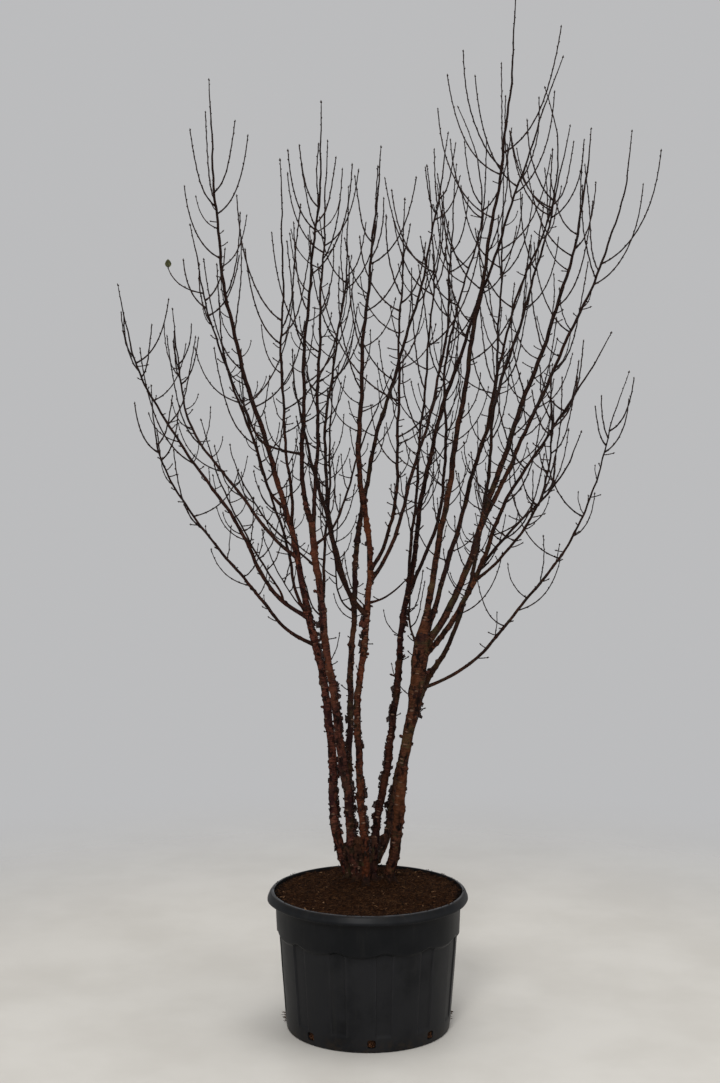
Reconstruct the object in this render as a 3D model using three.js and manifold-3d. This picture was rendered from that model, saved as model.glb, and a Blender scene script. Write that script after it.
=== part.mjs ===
// A bare, many-stemmed Tibetan cherry in a large round growing pot.
// Millimetres, +Z up. The origin is the middle of the pot's flat underside,
// +X is to the right and +Y away from whoever looks at its front.

import * as THREE from 'three';
import { mergeVertices } from 'three/addons/utils/BufferGeometryUtils.js';
import Module from 'manifold-3d';

const wasm = await Module();
wasm.setup();

// Room left between two solids that meet.
const CLEAR = 0.3;

// The pot.
const POT_HEIGHT = 568;
const POT_WALL = 5;
const FLOOR_THICK = 6;
const FOOT_RADIUS = 340;
const FOOT_ROUNDING = 10;
const PANEL_FOOT = { height: 62, radius: 346 };
const PANEL_TOP = { height: 378, radius: 371 };
const BAND_FOOT = { height: 399, radius: 381.5 };
const BAND_TOP = { height: 482, radius: 385 };
const LIP_UNDERSIDE = { height: 524, radius: 388 };
const LIP_FOOT = { height: 532, radius: 417 };
const LIP_TOP = { height: 561, radius: 412 };
const LIP_ROUNDING = 5;
const RIM_RADIUS = 394;
const PANEL_COUNT = 12;
const PANEL_DEPTH = 5;
const PANEL_HALF_TURN = 10;
const PANEL_TURN = -5;
const PANEL_RUN_OUT = 14;
const POT_SIDES = 72;
const HOLE_COUNT = 8;
const HOLE_RADIUS = 15;
const HOLE_HEIGHT = 38;
const HOLE_TURN = 2;
const HOLE_SIDES = 12;

// The soil, level round the stems and lower at the pot's wall.
const SOIL_LEVEL = 566;
const SOIL_EDGE = 548;
const SOIL_LEVEL_RADIUS = 270;
const SOIL_SIDES = 36;

// The limbs.
const STEM_FLARE = 0.3;
const FLARE_HEIGHT = 45;
const STEM_SHOULDER = 0.7;
const STEM_SIDES = 8;
const STEM_RINGS = 9;
const BOUGH_SIDES = 6;
const BOUGH_RINGS = 6;
const RING_CROWDING = 1.5;
const ELBOW_SHARE = 0.0625;
const LEADER_SIDES = 4;
const LEADER_RINGS = 7;
const LEADER_TAPER = 0.85;
const LEADER_TIP = 3.5;
const LEADER_DEPTH_BOW = 0.12;
const SUNK_IN_STEM = 12;

// The side shoots, which leave a leader sideways and curve up.
const GOLDEN_TURN = 137.5;
const TURN_SPREAD = 24;
const WHORL_COUNT = 4;
const WHORL_STEP = 30;
const TOP_SHOOT = 480;
const TOP_SHOOT_SHARE = 0.4;
const SHOOT_RISE = { least: 280, most: 540 };
const WHORL_RISE = { least: 0.6, most: 0.92 };
const SHOOT_REACH = { least: 0.36, most: 0.62 };
const SHOOT_GIRTH = 6.4;
const SHOOT_SHARES = [0, 0.35, 0.75, 1];
const SHOOT_SIDES = 3;
const SHOOT_CLEAR = 9;
const SHOOT_TRIES = 6;
const FIRST_SHOOT_ABOVE = 60;
const SHOOT_TAPER = 0.45;
const SHOOT_SPACING = 165;
const FIRST_SEED = 4021;
const SEED_STEP = 97;

const BARK = new THREE.MeshStandardMaterial({ color: 0x4a2b20, roughness: 0.75, metalness: 0 });
const TWIG = new THREE.MeshStandardMaterial({ color: 0x33211b, roughness: 0.8, metalness: 0 });
const SOIL = new THREE.MeshStandardMaterial({ color: 0x2d1d13, roughness: 1, metalness: 0 });
const PLASTIC = new THREE.MeshStandardMaterial({ color: 0x24262a, roughness: 0.5, metalness: 0 });

const radians = THREE.MathUtils.degToRad;

// Stems, each with the place of its foot, how far it leans to the right and
// away while it rises, its bends to the right, and its two girths. The bends
// are an arch, a sway, a ripple and, on a limb that sets off nearly level, an
// elbow where it starts.
const STEMS = [
  { name: 'a', x: -94, y: 150, right: -165, away: -30, rise: 1154,
    bends: [16, -16, -5, 0], girth: 44, top: 31 },
  { name: 'b', x: -57, y: 97, right: -183, away: -67, rise: 1551,
    bends: [7, 7, 1, 0], girth: 44, top: 28 },
  { name: 'c', x: -72, y: 215, right: 25, away: 115, rise: 1432,
    bends: [-17, -1, 1, 0], girth: 34, top: 22 },
  { name: 'd', x: -8, y: 70, right: -10, away: -70, rise: 1629,
    bends: [-14, -20, 13, 0], girth: 38, top: 25 },
  { name: 'e', x: 24, y: 117, right: 155, away: 43, rise: 1277,
    bends: [-6, -3, -8, 0], girth: 38, top: 27 },
  { name: 'f', x: 112, y: 105, right: 124, away: -45, rise: 1068,
    bends: [-18, -6, 2, 0], girth: 48, top: 66 },
  { name: 'g', x: 47, y: 172, right: 226, away: 98, rise: 871,
    bends: [-28, 4, 1, 0], girth: 34, top: 24 },
];

// Leaders, each with the limb that it leaves and the height above the ground
// where it does, none for one that runs on from the top of its stem. A share
// of its length up to bare is a bough, and above that come its twigs. Its top
// shoot can have a length of its own.
const LEADERS = [
  { name: 'a1', on: 'a', right: -418, away: -20, rise: 2260,
    bends: [-80, 24, 13, 4], girth: 27, bare: 0.36, shoot: 520 },
  { name: 'a2', on: 'a1', at: 2153, right: -354, away: -565, rise: 1158,
    bends: [5, 22, 6, -87], girth: 13, bare: 0, shoot: 320 },
  { name: 'a3', on: 'a1', at: 2081, right: -7, away: -816, rise: 1459,
    bends: [-27, -13, 2, 33], girth: 14, bare: 0.3, shoot: 660 },
  { name: 'a4', on: 'a', at: 1690, right: -808, away: -21, rise: 1409,
    bends: [-23, 60, 7, -173], girth: 18, bare: 0.42 },
  { name: 'a5', on: 'a1', at: 1945, right: -567, away: 383, rise: 1065,
    bends: [-125, 11, 20, -65], girth: 15, bare: 0.38 },
  { name: 'a6', on: 'a', at: 1571, right: -635, away: -574, rise: 1105,
    bends: [-84, 42, 8, -128], girth: 15, bare: 0.42 },
  { name: 'b1', on: 'b', right: 47, away: -281, rise: 1720,
    bends: [1, -6, 8, -60], girth: 20, bare: 0.3, shoot: 460 },
  { name: 'b2', on: 'b', at: 2060, right: 56, away: 388, rise: 1688,
    bends: [-5, 0, 2, 8], girth: 18, bare: 0.3 },
  { name: 'c1', on: 'c', right: 403, away: 121, rise: 1801,
    bends: [11, -24, -5, 3], girth: 21, bare: 0.36, shoot: 320 },
  { name: 'c2', on: 'c', at: 1718, right: -27, away: 473, rise: 1862,
    bends: [-80, -39, 5, -25], girth: 18, bare: 0.4 },
  { name: 'd1', on: 'd', right: 69, away: -101, rise: 1477,
    bends: [-13, -2, 3, -34], girth: 23, bare: 0.28 },
  { name: 'd2', on: 'd', at: 1905, right: 130, away: -712, rise: 1486,
    bends: [20, 12, 4, 59], girth: 16, bare: 0.34 },
  { name: 'd3', on: 'd', at: 1855, right: 396, away: 635, rise: 1813,
    bends: [64, -8, -14, 83], girth: 17, bare: 0.4 },
  { name: 'e1', on: 'e', right: 649, away: -60, rise: 2234,
    bends: [-79, -26, -7, 25], girth: 22, bare: 0.36, shoot: 560 },
  { name: 'e2', on: 'e', at: 1800, right: 58, away: -639, rise: 1741,
    bends: [41, -12, 6, -14], girth: 14, bare: 0.36 },
  { name: 'e3', on: 'e', at: 1770, right: 241, away: 442, rise: 2153,
    bends: [131, -20, 56, -11], girth: 16, bare: 0.4 },
  { name: 'f1', on: 'f', right: 388, away: -11, rise: 2733,
    bends: [46, -10, 7, -15], girth: 28, bare: 0.4, shoot: 760 },
  { name: 'f2', on: 'f', at: 1590, right: 670, away: 438, rise: 2235,
    bends: [18, -15, 3, 17], girth: 23, bare: 0.38, shoot: 380 },
  { name: 'f3', on: 'f', at: 1570, right: 711, away: -13, rise: 2184,
    bends: [52, -29, 6, 92], girth: 31, bare: 0.38 },
  { name: 'f4', on: 'f2', at: 2181, right: 290, away: -519, rise: 1694,
    bends: [93, -37, 30, -36], girth: 14, bare: 0.26 },
  { name: 'f5', on: 'f3', at: 2090, right: 675, away: 291, rise: 1693,
    bends: [80, -22, 6, 0], girth: 19, bare: 0.34, shoot: 630 },
  { name: 'f6', on: 'f', at: 1520, right: 716, away: -665, rise: 1362,
    bends: [-27, 15, 20, 30], girth: 28, bare: 0.46 },
  { name: 'f7', on: 'f6', at: 1931, right: 407, away: -47, rise: 557,
    bends: [40, -15, -2, 0], girth: 13, bare: 0 },
  { name: 'f8', on: 'f6', at: 1880, right: 251, away: -627, rise: 878,
    bends: [103, 13, -10, 38], girth: 14, bare: 0.36 },
  { name: 'f9', on: 'f', at: 1388, right: 906, away: 50, rise: 1342,
    bends: [104, -6, -21, 201], girth: 18, bare: 0.5 },
  { name: 'g1', on: 'g', right: 353, away: 481, rise: 2253,
    bends: [84, 12, 2, 77], girth: 20, bare: 0.42 },
];

const tree = new THREE.Group();

function addNode(name, geometry, material) {
  const mesh = new THREE.Mesh(geometry, material);
  mesh.name = name;
  tree.add(mesh);
}

// Solids that can be cut and joined.

function toSolid(geometry) {
  geometry.deleteAttribute('normal');
  geometry.deleteAttribute('uv');
  const merged = mergeVertices(geometry, 1e-3);
  const corners = merged.index.array;
  const kept = [];
  for (let i = 0; i < corners.length; i += 3) {
    const [a, b, c] = corners.slice(i, i + 3);
    if (a !== b && b !== c && c !== a) kept.push(a, b, c);
  }
  return new wasm.Manifold(new wasm.Mesh({
    numProp: 3,
    vertProperties: new Float32Array(merged.attributes.position.array),
    triVerts: new Uint32Array(kept),
  }));
}

function toGeometry(solid) {
  const mesh = solid.getMesh();
  const geometry = new THREE.BufferGeometry();
  geometry.setAttribute('position', new THREE.BufferAttribute(mesh.vertProperties, 3));
  geometry.setIndex(new THREE.BufferAttribute(mesh.triVerts, 1));
  geometry.computeVertexNormals();
  return geometry;
}

function largestPiece(solid) {
  const pieces = solid.decompose();
  return pieces.reduce((best, piece) => (piece.volume() > best.volume() ? piece : best));
}

// Turned shapes. A profile is a list of [radius, height], from axis to axis.

function turned(profile, sides, firstTurn) {
  const points = profile.map(([radius, height]) => new THREE.Vector2(radius, height));
  const geometry = new THREE.LatheGeometry(points, sides, radians(firstTurn));
  return geometry.rotateX(Math.PI / 2);
}

// How far the grooves between the pot's raised panels are sunk, at a turn in
// degrees from the front and a height.
function grooveDepth(turn, height) {
  const pitch = 360 / PANEL_COUNT;
  const fromPanel = Math.abs(turn - PANEL_TURN - pitch * Math.round((turn - PANEL_TURN) / pitch));
  const onPanel = fromPanel < PANEL_HALF_TURN;
  const belowPanels = height < PANEL_FOOT.height + PANEL_RUN_OUT / 2;
  const abovePanels = height > PANEL_TOP.height + 1;
  return onPanel || belowPanels || abovePanels ? 0 : PANEL_DEPTH;
}

function sinkGrooves(geometry) {
  const position = geometry.attributes.position;
  for (let i = 0; i < position.count; i += 1) {
    const x = position.getX(i);
    const y = position.getY(i);
    const z = position.getZ(i);
    const radius = Math.hypot(x, y);
    const onOutside = radius > innerRadius(z) + POT_WALL / 2;
    if (!onOutside) continue;
    const turn = THREE.MathUtils.radToDeg(Math.atan2(x, -y));
    const sunk = (radius - grooveDepth(turn, z)) / radius;
    position.setXYZ(i, x * sunk, y * sunk, z);
  }
}

// The pot's inner wall is straight from its floor to the band and from there
// to the rim.
function innerRadius(height) {
  const floor = FOOT_RADIUS - POT_WALL - PANEL_DEPTH;
  const shoulder = PANEL_TOP.radius - POT_WALL - PANEL_DEPTH;
  const neck = BAND_TOP.radius - POT_WALL;
  const { lerp } = THREE.MathUtils;
  if (height <= PANEL_TOP.height) return lerp(floor, shoulder, height / PANEL_TOP.height);
  if (height <= BAND_TOP.height) {
    return lerp(shoulder, neck, (height - PANEL_TOP.height) / (BAND_TOP.height - PANEL_TOP.height));
  }
  return lerp(neck, RIM_RADIUS, (height - BAND_TOP.height) / (POT_HEIGHT - BAND_TOP.height));
}

function makePot() {
  const panelStart = PANEL_FOOT.height + PANEL_RUN_OUT;
  const panelSlope = (PANEL_TOP.radius - PANEL_FOOT.radius) / (PANEL_TOP.height - PANEL_FOOT.height);
  const profile = [
    [0, 0],
    [FOOT_RADIUS - FOOT_ROUNDING, 0],
    [FOOT_RADIUS, FOOT_ROUNDING],
    [PANEL_FOOT.radius, PANEL_FOOT.height],
    [PANEL_FOOT.radius + panelSlope * PANEL_RUN_OUT, panelStart],
    [PANEL_TOP.radius, PANEL_TOP.height],
    [BAND_FOOT.radius, BAND_FOOT.height],
    [BAND_TOP.radius, BAND_TOP.height],
    [LIP_UNDERSIDE.radius, LIP_UNDERSIDE.height],
    [LIP_FOOT.radius, LIP_FOOT.height],
    [LIP_TOP.radius, LIP_TOP.height],
    [LIP_TOP.radius - LIP_ROUNDING, POT_HEIGHT],
    [RIM_RADIUS, POT_HEIGHT],
    [innerRadius(BAND_TOP.height), BAND_TOP.height],
    [innerRadius(PANEL_TOP.height), PANEL_TOP.height],
    [innerRadius(FLOOR_THICK), FLOOR_THICK],
    [0, FLOOR_THICK],
  ];
  const halfSide = 180 / POT_SIDES;
  const geometry = turned(profile, POT_SIDES, halfSide);
  sinkGrooves(geometry);
  let pot = toSolid(geometry);
  for (let i = 0; i < HOLE_COUNT; i += 1) {
    pot = pot.subtract(makeDrill(HOLE_TURN + i * 360 / HOLE_COUNT));
  }
  addNode('pot', toGeometry(pot), PLASTIC);
}

function makeDrill(turn) {
  const length = 8 * POT_WALL;
  const drill = new THREE.CylinderGeometry(HOLE_RADIUS, HOLE_RADIUS, length, HOLE_SIDES);
  drill.translate(0, -FOOT_RADIUS, 0);
  drill.rotateZ(radians(turn));
  drill.translate(0, 0, HOLE_HEIGHT);
  return toSolid(drill);
}

function makeSoil() {
  const wallAt = (height) => innerRadius(height) - CLEAR;
  const bottom = FLOOR_THICK + CLEAR;
  const geometry = turned([
    [0, bottom],
    [wallAt(bottom), bottom],
    [wallAt(PANEL_TOP.height), PANEL_TOP.height],
    [wallAt(BAND_TOP.height), BAND_TOP.height],
    [wallAt(SOIL_EDGE), SOIL_EDGE],
    [SOIL_LEVEL_RADIUS, SOIL_LEVEL],
    [0, SOIL_LEVEL],
  ], SOIL_SIDES, 180 / POT_SIDES);
  addNode('soil', toGeometry(toSolid(geometry)), SOIL);
}

// Limbs. A limb's place at a share of its rise, from 0 to 1.
function along(limb, share) {
  const arch = 4 * share * (1 - share);
  const [bow, sway, ripple, elbow] = limb.bends;
  const bent = bow * arch
    + sway * Math.sin(2 * Math.PI * share)
    + ripple * Math.sin(3 * Math.PI * share)
    + elbow * (1 - Math.exp(-share / ELBOW_SHARE)) * (1 - share);
  return new THREE.Vector3(
    limb.start.x + limb.right * share + bent,
    limb.start.y + limb.away * (share + limb.depthBow * arch),
    limb.start.z + limb.rise * share,
  );
}

function stemRadius(stem, share) {
  const flare = 1 + STEM_FLARE * Math.exp(-stem.rise * share / FLARE_HEIGHT);
  const shoulder = share === 1 ? STEM_SHOULDER : 1;
  return THREE.MathUtils.lerp(stem.girth, stem.top, share) * flare * shoulder / 2;
}

function leaderRadius(leader, share) {
  return (LEADER_TIP + (leader.girth - LEADER_TIP) * (1 - share) ** LEADER_TAPER) / 2;
}

function shares(from, to, rings, crowding = 1) {
  return Array.from({ length: rings + 1 }, (_, i) => from + (to - from) * (i / rings) ** crowding);
}

// The rings of a limb or shoot: each one's place, the way it runs and its radius.
function ringsOf(placeAt, radiusAt, steps) {
  const nudge = 1e-4;
  return steps.map((share) => ({
    place: placeAt(share),
    run: placeAt(share + nudge).sub(placeAt(share - nudge)).normalize(),
    radius: radiusAt(share),
  }));
}

// A closed tapering tube through the given rings. It is a cylinder, or a cone
// where it ends in a point, whose rings are moved onto their places. They lie
// level, or square to the way the tube runs. It can be made thicker and longer
// all round by a margin.
function tube(rings, sides, { level = false, margin = 0 } = {}) {
  const last = rings.length - 1;
  const pointed = rings[last].radius === 0;
  const base = pointed
    ? new THREE.ConeGeometry(1, 1, sides, last)
    : new THREE.CylinderGeometry(1, 1, 1, sides, last);
  const across = [];
  let side = new THREE.Vector3(1, 0, 0);
  for (const { run } of rings) {
    const axis = level ? new THREE.Vector3(0, 0, 1) : run;
    if (Math.abs(side.dot(axis)) > 0.99) side = new THREE.Vector3(0, 1, 0);
    side = side.clone().addScaledVector(axis, -side.dot(axis)).normalize();
    across.push([side, new THREE.Vector3().crossVectors(side, axis)]);
  }
  const position = base.attributes.position;
  for (let i = 0; i < position.count; i += 1) {
    const index = Math.round((position.getY(i) + 0.5) * last);
    const ring = rings[index];
    const offset = new THREE.Vector3()
      .addScaledVector(across[index][0], position.getX(i))
      .addScaledVector(across[index][1], position.getZ(i));
    if (offset.length() > 1e-6) offset.setLength(ring.radius + margin);
    const place = ring.place.clone().add(offset);
    if (index === 0) place.addScaledVector(ring.run, -margin);
    if (index === last) place.addScaledVector(ring.run, margin);
    position.setXYZ(i, place.x, place.y, place.z);
  }
  return toSolid(base);
}

// Every limb that is made so far, as straight stretches, so that what comes
// later is cut clear of it or grows clear of it.
const limbs = [];

function stretchesOf(rings) {
  return rings.slice(1).map((ring, i) => ({
    from: rings[i].place,
    to: ring.place,
    radius: Math.max(rings[i].radius, ring.radius),
  }));
}

function remember(name, rings, solidWithMargin) {
  limbs.push({ name, stretches: stretchesOf(rings), solidWithMargin });
}

// The least distance between two straight stretches.
function distanceBetween(one, other) {
  const d1 = one.to.clone().sub(one.from);
  const d2 = other.to.clone().sub(other.from);
  const r = one.from.clone().sub(other.from);
  const a = d1.dot(d1);
  const e = d2.dot(d2);
  const b = d1.dot(d2);
  const c = d1.dot(r);
  const f = d2.dot(r);
  const spread = a * e - b * b;
  const { clamp } = THREE.MathUtils;
  let s = spread > 1e-9 ? clamp((b * f - c * e) / spread, 0, 1) : 0;
  const t = clamp((b * s + f) / e, 0, 1);
  s = clamp((b * t - c) / a, 0, 1);
  return r.addScaledVector(d1, s).addScaledVector(d2, -t).length();
}

function roomTo(stretches, limb) {
  let least = Infinity;
  for (const one of stretches) {
    for (const other of limb.stretches) {
      least = Math.min(least, distanceBetween(one, other) - one.radius - other.radius);
    }
  }
  return least;
}

function cutClear(solid, rings) {
  let cut = solid;
  for (const limb of limbs) {
    if (limb.solidWithMargin && roomTo(stretchesOf(rings), limb) < 1) {
      cut = cut.subtract(limb.solidWithMargin);
    }
  }
  return largestPiece(cut);
}

function makeLimb(name, rings, sides, level) {
  const solid = cutClear(tube(rings, sides, { level }), rings);
  remember(name, rings, tube(rings, sides, { level, margin: 1.2 * CLEAR }));
  addNode(name, toGeometry(solid), BARK);
}

function makeStem(stem) {
  stem.start = new THREE.Vector3(stem.x, stem.y, SOIL_LEVEL + CLEAR);
  stem.depthBow = 0;
  const rings = ringsOf(
    (share) => along(stem, share),
    (share) => stemRadius(stem, share),
    shares(0, 1, STEM_RINGS, RING_CROWDING),
  );
  makeLimb(`stem_${stem.name}`, rings, STEM_SIDES, true);
}

function leaderRings(leader, steps) {
  return ringsOf(
    (share) => along(leader, share),
    (share) => leaderRadius(leader, share),
    steps,
  );
}

// Where a leader starts on the limb that carries it.
function startOn(carrier, height) {
  const top = carrier.start.z + carrier.rise - SUNK_IN_STEM;
  const level = height ?? top;
  return along(carrier, (level - carrier.start.z) / carrier.rise);
}

function makeBough(leader, carrier) {
  leader.start = startOn(carrier, leader.at);
  leader.depthBow = LEADER_DEPTH_BOW;
  if (leader.bare === 0) return;
  const rings = leaderRings(leader, shares(0, leader.bare, BOUGH_RINGS, RING_CROWDING));
  makeLimb(`bough_${leader.name}`, rings, BOUGH_SIDES, false);
}

// Twigs. Each leader runs on above its bough as the stem of its own twigs.
function twigStemRings(leader) {
  const crowding = leader.bare === 0 ? RING_CROWDING : 1;
  const rings = leaderRings(leader, shares(leader.bare, 1, LEADER_RINGS, crowding));
  if (leader.bare > 0) rings[0].place.addScaledVector(rings[0].run, CLEAR);
  rings[LEADER_RINGS].radius = 0;
  return rings;
}

// The same random numbers each time, from 0 to 1.
function randomSource(seed) {
  let state = seed;
  return () => {
    state = (state * 48271) % 2147483647;
    return state / 2147483647;
  };
}

// The place at a height on the straight stretches between a leader's rings.
function placeOn(rings, height) {
  const above = rings.findIndex((ring) => ring.place.z >= height);
  const low = rings[above - 1].place;
  const high = rings[above].place;
  return low.clone().lerp(high, (height - low.z) / (high.z - low.z));
}

// The side shoots of one leader, from the top down: a whorl below its top
// shoot, then one after another down to where the twigs start.
function planShoots(leader, stemRings, seed) {
  const random = randomSource(seed);
  const between = (range) => THREE.MathUtils.lerp(range.least, range.most, random());
  const length = leader.rise * (1 - leader.bare);
  const usualShoot = Math.min(TOP_SHOOT, TOP_SHOOT_SHARE * length);
  const topShoot = (leader.shoot ?? usualShoot) * (0.9 + 0.2 * random());
  const lowest = leader.bare === 0 ? 2 * FIRST_SHOOT_ABOVE : FIRST_SHOOT_ABOVE;
  const whorlDepth = topShoot + WHORL_STEP * WHORL_COUNT;
  const lowerCount = Math.max(1, Math.round((length - lowest - whorlDepth) / SHOOT_SPACING));
  const firstTurn = 360 * random();
  const shoots = [];
  for (let i = 0; i < WHORL_COUNT + lowerCount; i += 1) {
    const inWhorl = i < WHORL_COUNT;
    const lowerShare = (i - WHORL_COUNT + 1) / lowerCount;
    const below = inWhorl
      ? topShoot + WHORL_STEP * i
      : THREE.MathUtils.lerp(whorlDepth, length - lowest, lowerShare);
    const rise = Math.min(inWhorl ? topShoot * between(WHORL_RISE) : between(SHOOT_RISE), 0.9 * below);
    shoots.push({
      from: placeOn(stemRings, leader.start.z + leader.rise - below),
      rise,
      reach: rise * between(SHOOT_REACH),
      turn: radians(firstTurn + GOLDEN_TURN * i + TURN_SPREAD * (random() - 0.5)),
    });
  }
  return shoots;
}

// Where a side shoot is at a share of its length: it goes out fast and up late.
function shootPlace(shoot, share) {
  const out = shoot.reach * share * (1.6 - 0.6 * share);
  const up = shoot.rise * share * (0.35 + 0.65 * share);
  return new THREE.Vector3(
    shoot.from.x + out * Math.cos(shoot.turn),
    shoot.from.y + out * Math.sin(shoot.turn),
    shoot.from.z + up,
  );
}

function shootRings(shoot) {
  return ringsOf(
    (share) => shootPlace(shoot, share),
    (share) => (share === 1 ? 0 : SHOOT_GIRTH * (1 - SHOOT_TAPER * share) / 2),
    SHOOT_SHARES,
  );
}

// Turns a shoot until it is clear of every other leader's limbs and shoots.
function placeShoot(shoot, ownName) {
  for (let i = 0; i < SHOOT_TRIES; i += 1) {
    const rings = shootRings(shoot);
    const stretches = stretchesOf(rings);
    const clear = limbs.every((limb) => limb.name === ownName || roomTo(stretches, limb) > SHOOT_CLEAR);
    if (clear) return rings;
    shoot.turn += radians(GOLDEN_TURN);
  }
  return null;
}

function makeTwigs(leader, seed) {
  const name = `twigs_${leader.name}`;
  const stemRings = twigStemRings(leader);
  let solid = tube(stemRings, LEADER_SIDES);
  if (leader.bare === 0) solid = cutClear(solid, stemRings);
  for (const shoot of planShoots(leader, stemRings, seed)) {
    const rings = placeShoot(shoot, name);
    if (!rings) continue;
    remember(name, rings);
    solid = solid.add(tube(rings, SHOOT_SIDES));
  }
  addNode(name, toGeometry(solid), TWIG);
}

makePot();
makeSoil();
STEMS.forEach(makeStem);

const carriers = new Map(STEMS.map((stem) => [stem.name, stem]));
for (const leader of LEADERS) {
  makeBough(leader, carriers.get(leader.on));
  carriers.set(leader.name, leader);
}
for (const leader of LEADERS) remember(`twigs_${leader.name}`, twigStemRings(leader));
LEADERS.forEach((leader, i) => makeTwigs(leader, FIRST_SEED + SEED_STEP * i));

export default tree;
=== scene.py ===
# The looks of a bare, many-stemmed Tibetan cherry in a large round growing pot.
# Shapes are planned in millimetres by the same rule as the solids, and the
# meshes are in metres, +Z up. A turn about the plant is measured from +X, and
# one about the pot from its front.
import functools
import math
from dataclasses import dataclass

import bpy
import numpy as np
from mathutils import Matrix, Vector, noise


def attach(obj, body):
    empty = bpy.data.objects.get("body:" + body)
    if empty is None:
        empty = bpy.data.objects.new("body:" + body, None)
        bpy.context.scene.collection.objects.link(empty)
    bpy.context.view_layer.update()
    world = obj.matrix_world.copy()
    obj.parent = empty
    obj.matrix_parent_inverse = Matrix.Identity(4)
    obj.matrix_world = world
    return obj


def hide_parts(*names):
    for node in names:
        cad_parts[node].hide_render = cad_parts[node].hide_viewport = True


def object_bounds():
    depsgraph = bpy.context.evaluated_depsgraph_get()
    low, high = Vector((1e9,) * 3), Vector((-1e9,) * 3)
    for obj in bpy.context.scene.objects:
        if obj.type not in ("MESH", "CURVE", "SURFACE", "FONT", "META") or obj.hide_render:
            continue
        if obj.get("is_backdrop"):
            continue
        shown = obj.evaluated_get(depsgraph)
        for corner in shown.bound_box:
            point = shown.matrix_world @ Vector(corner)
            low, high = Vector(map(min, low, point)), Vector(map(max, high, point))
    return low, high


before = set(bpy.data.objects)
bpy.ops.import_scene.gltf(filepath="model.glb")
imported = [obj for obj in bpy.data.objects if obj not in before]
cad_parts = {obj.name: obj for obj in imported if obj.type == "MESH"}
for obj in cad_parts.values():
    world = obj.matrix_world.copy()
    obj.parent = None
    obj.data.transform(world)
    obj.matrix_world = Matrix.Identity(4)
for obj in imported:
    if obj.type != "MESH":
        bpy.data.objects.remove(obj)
cad_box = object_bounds()

MM = 0.001
FULL_TURN = 2 * np.pi
UP = np.array((0.0, 0.0, 1.0))
RIGHT = np.array((1.0, 0.0, 0.0))

# The pot. The corners of its outline are radii and heights.
POT_HEIGHT = 568
POT_WALL = 5
FLOOR_THICK = 6
FOOT_RADIUS = 340
FOOT_ROUNDING = 10
RIM_RADIUS = 394
PANEL_FOOT = (346, 62)
PANEL_TOP = (371, 378)
BAND_FOOT = (381.5, 399)
BAND_TOP = (385, 482)
LIP_UNDERSIDE = (388, 524)
LIP_TOP = (407, 565)
LIP_CORNERS = [
    (385.3, 490), LIP_UNDERSIDE, (417, 532), (417, 541), LIP_TOP, (RIM_RADIUS, POT_HEIGHT), (393.5, 559),
]
LIP_ROUNDINGS = (6, 2.5, 4, 6, 2.5)
LIP_BULGE_TURN = 278
LIP_BULGE_WIDTH = 13
LIP_BULGE_DEPTH = 5
PANEL_PITCH = 30
PANEL_DEPTH = 5
PANEL_HALF_TURN = 10
PANEL_TURN = -5
PANEL_RUN_OUT = 14
PANEL_EDGE_TURN = 0.4
SCALLOP_LOW = 392
SCALLOP_RISE = 16
SCALLOP_STEP = 8
DENT_DEPTH = 1.3
HOLE_COUNT = 8
HOLE_SIZE = 34
HOLE_HEIGHT = 38
HOLE_TURN = 2

# The soil.
SOIL_LEVEL = 566
SOIL_EDGE = 548
SOIL_LEVEL_RADIUS = 270
SOIL_EDGE_DROP = 40
SOIL_EDGE_WIDTH = 24
SOIL_TURNS = 360
SOIL_GAP = 1.2
MOUND_HEIGHT = 26
MOUND_REACH = 48
CLUMPS = [(80, 6.5), (30, 6.0), (12, 3.4)]
CRUMB_COUNT = 5200
LIP_CRUMB_COUNT = 46
CHIP_COUNT = 64
FIBRE_COUNT = 2100

# The limbs, as in the solids.
CLEAR = 0.3
STEM_FLARE = 0.3
FLARE_HEIGHT = 45
STEM_SHOULDER = 0.7
STEM_RINGS = 9
BOUGH_RINGS = 6
LEADER_RINGS = 7
RING_CROWDING = 1.5
ELBOW_SHARE = 0.0625
LEADER_TAPER = 0.85
LEADER_TIP = 3.5
LEADER_DEPTH_BOW = 0.12
SUNK_IN_STEM = 12

# The side shoots, as in the solids.
GOLDEN_TURN = 137.5
TURN_SPREAD = 24
WHORL_COUNT = 4
WHORL_STEP = 30
TOP_SHOOT = 480
TOP_SHOOT_SHARE = 0.4
SHOOT_RISE = (280, 540)
WHORL_RISE = (0.6, 0.92)
SHOOT_REACH = (0.36, 0.62)
SHOOT_GIRTH = 6.4
SHOOT_SHARES = np.array((0, 0.35, 0.75, 1))
SHOOT_CLEAR = 9
SHOOT_TRIES = 6
FIRST_SHOOT_ABOVE = 60
SHOOT_TAPER = 0.45
SHOOT_SPACING = 165
FIRST_SEED = 4021
SEED_STEP = 97

# What the solids leave out: how real limbs wander and gather at their feet, and
# their finer twigs and buds.
WANDERS = [(430, 3.4), (150, 1.5), (64, 0.6)]
FOOT_SHIFTS = {
    "a": (21, -6), "b": (10, 6), "c": (13, -18), "d": (1, 11), "e": (-7, 2), "f": (-28, 5), "g": (-65, -45),
}
FOOT_HEIGHT = 85
SEEN_FLARE = 0.05
LATE_GROWTH = {"f": (0.56, 0.84)}
SLIMMER = {
    "a": 0.94, "b": 0.94, "c": 0.94, "d": 0.88, "e": 0.88, "f": 0.95, "f6": 0.86, "f8": 0.88, "f9": 0.8,
}
FINE_SPACING = (34, 92)
FINE_RISE = (50, 260)
FINE_THINNING = 6
FINE_THINNING_FROM = 0.35
FINE_REACH = (0.45, 1.15)
FINE_GIRTH = 5.4
FINE_CLEAR = 3
FINE_TRIES = 3
REACH_SLACK = 40
STEM_FINE_SPACING = (90, 260)
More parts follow.
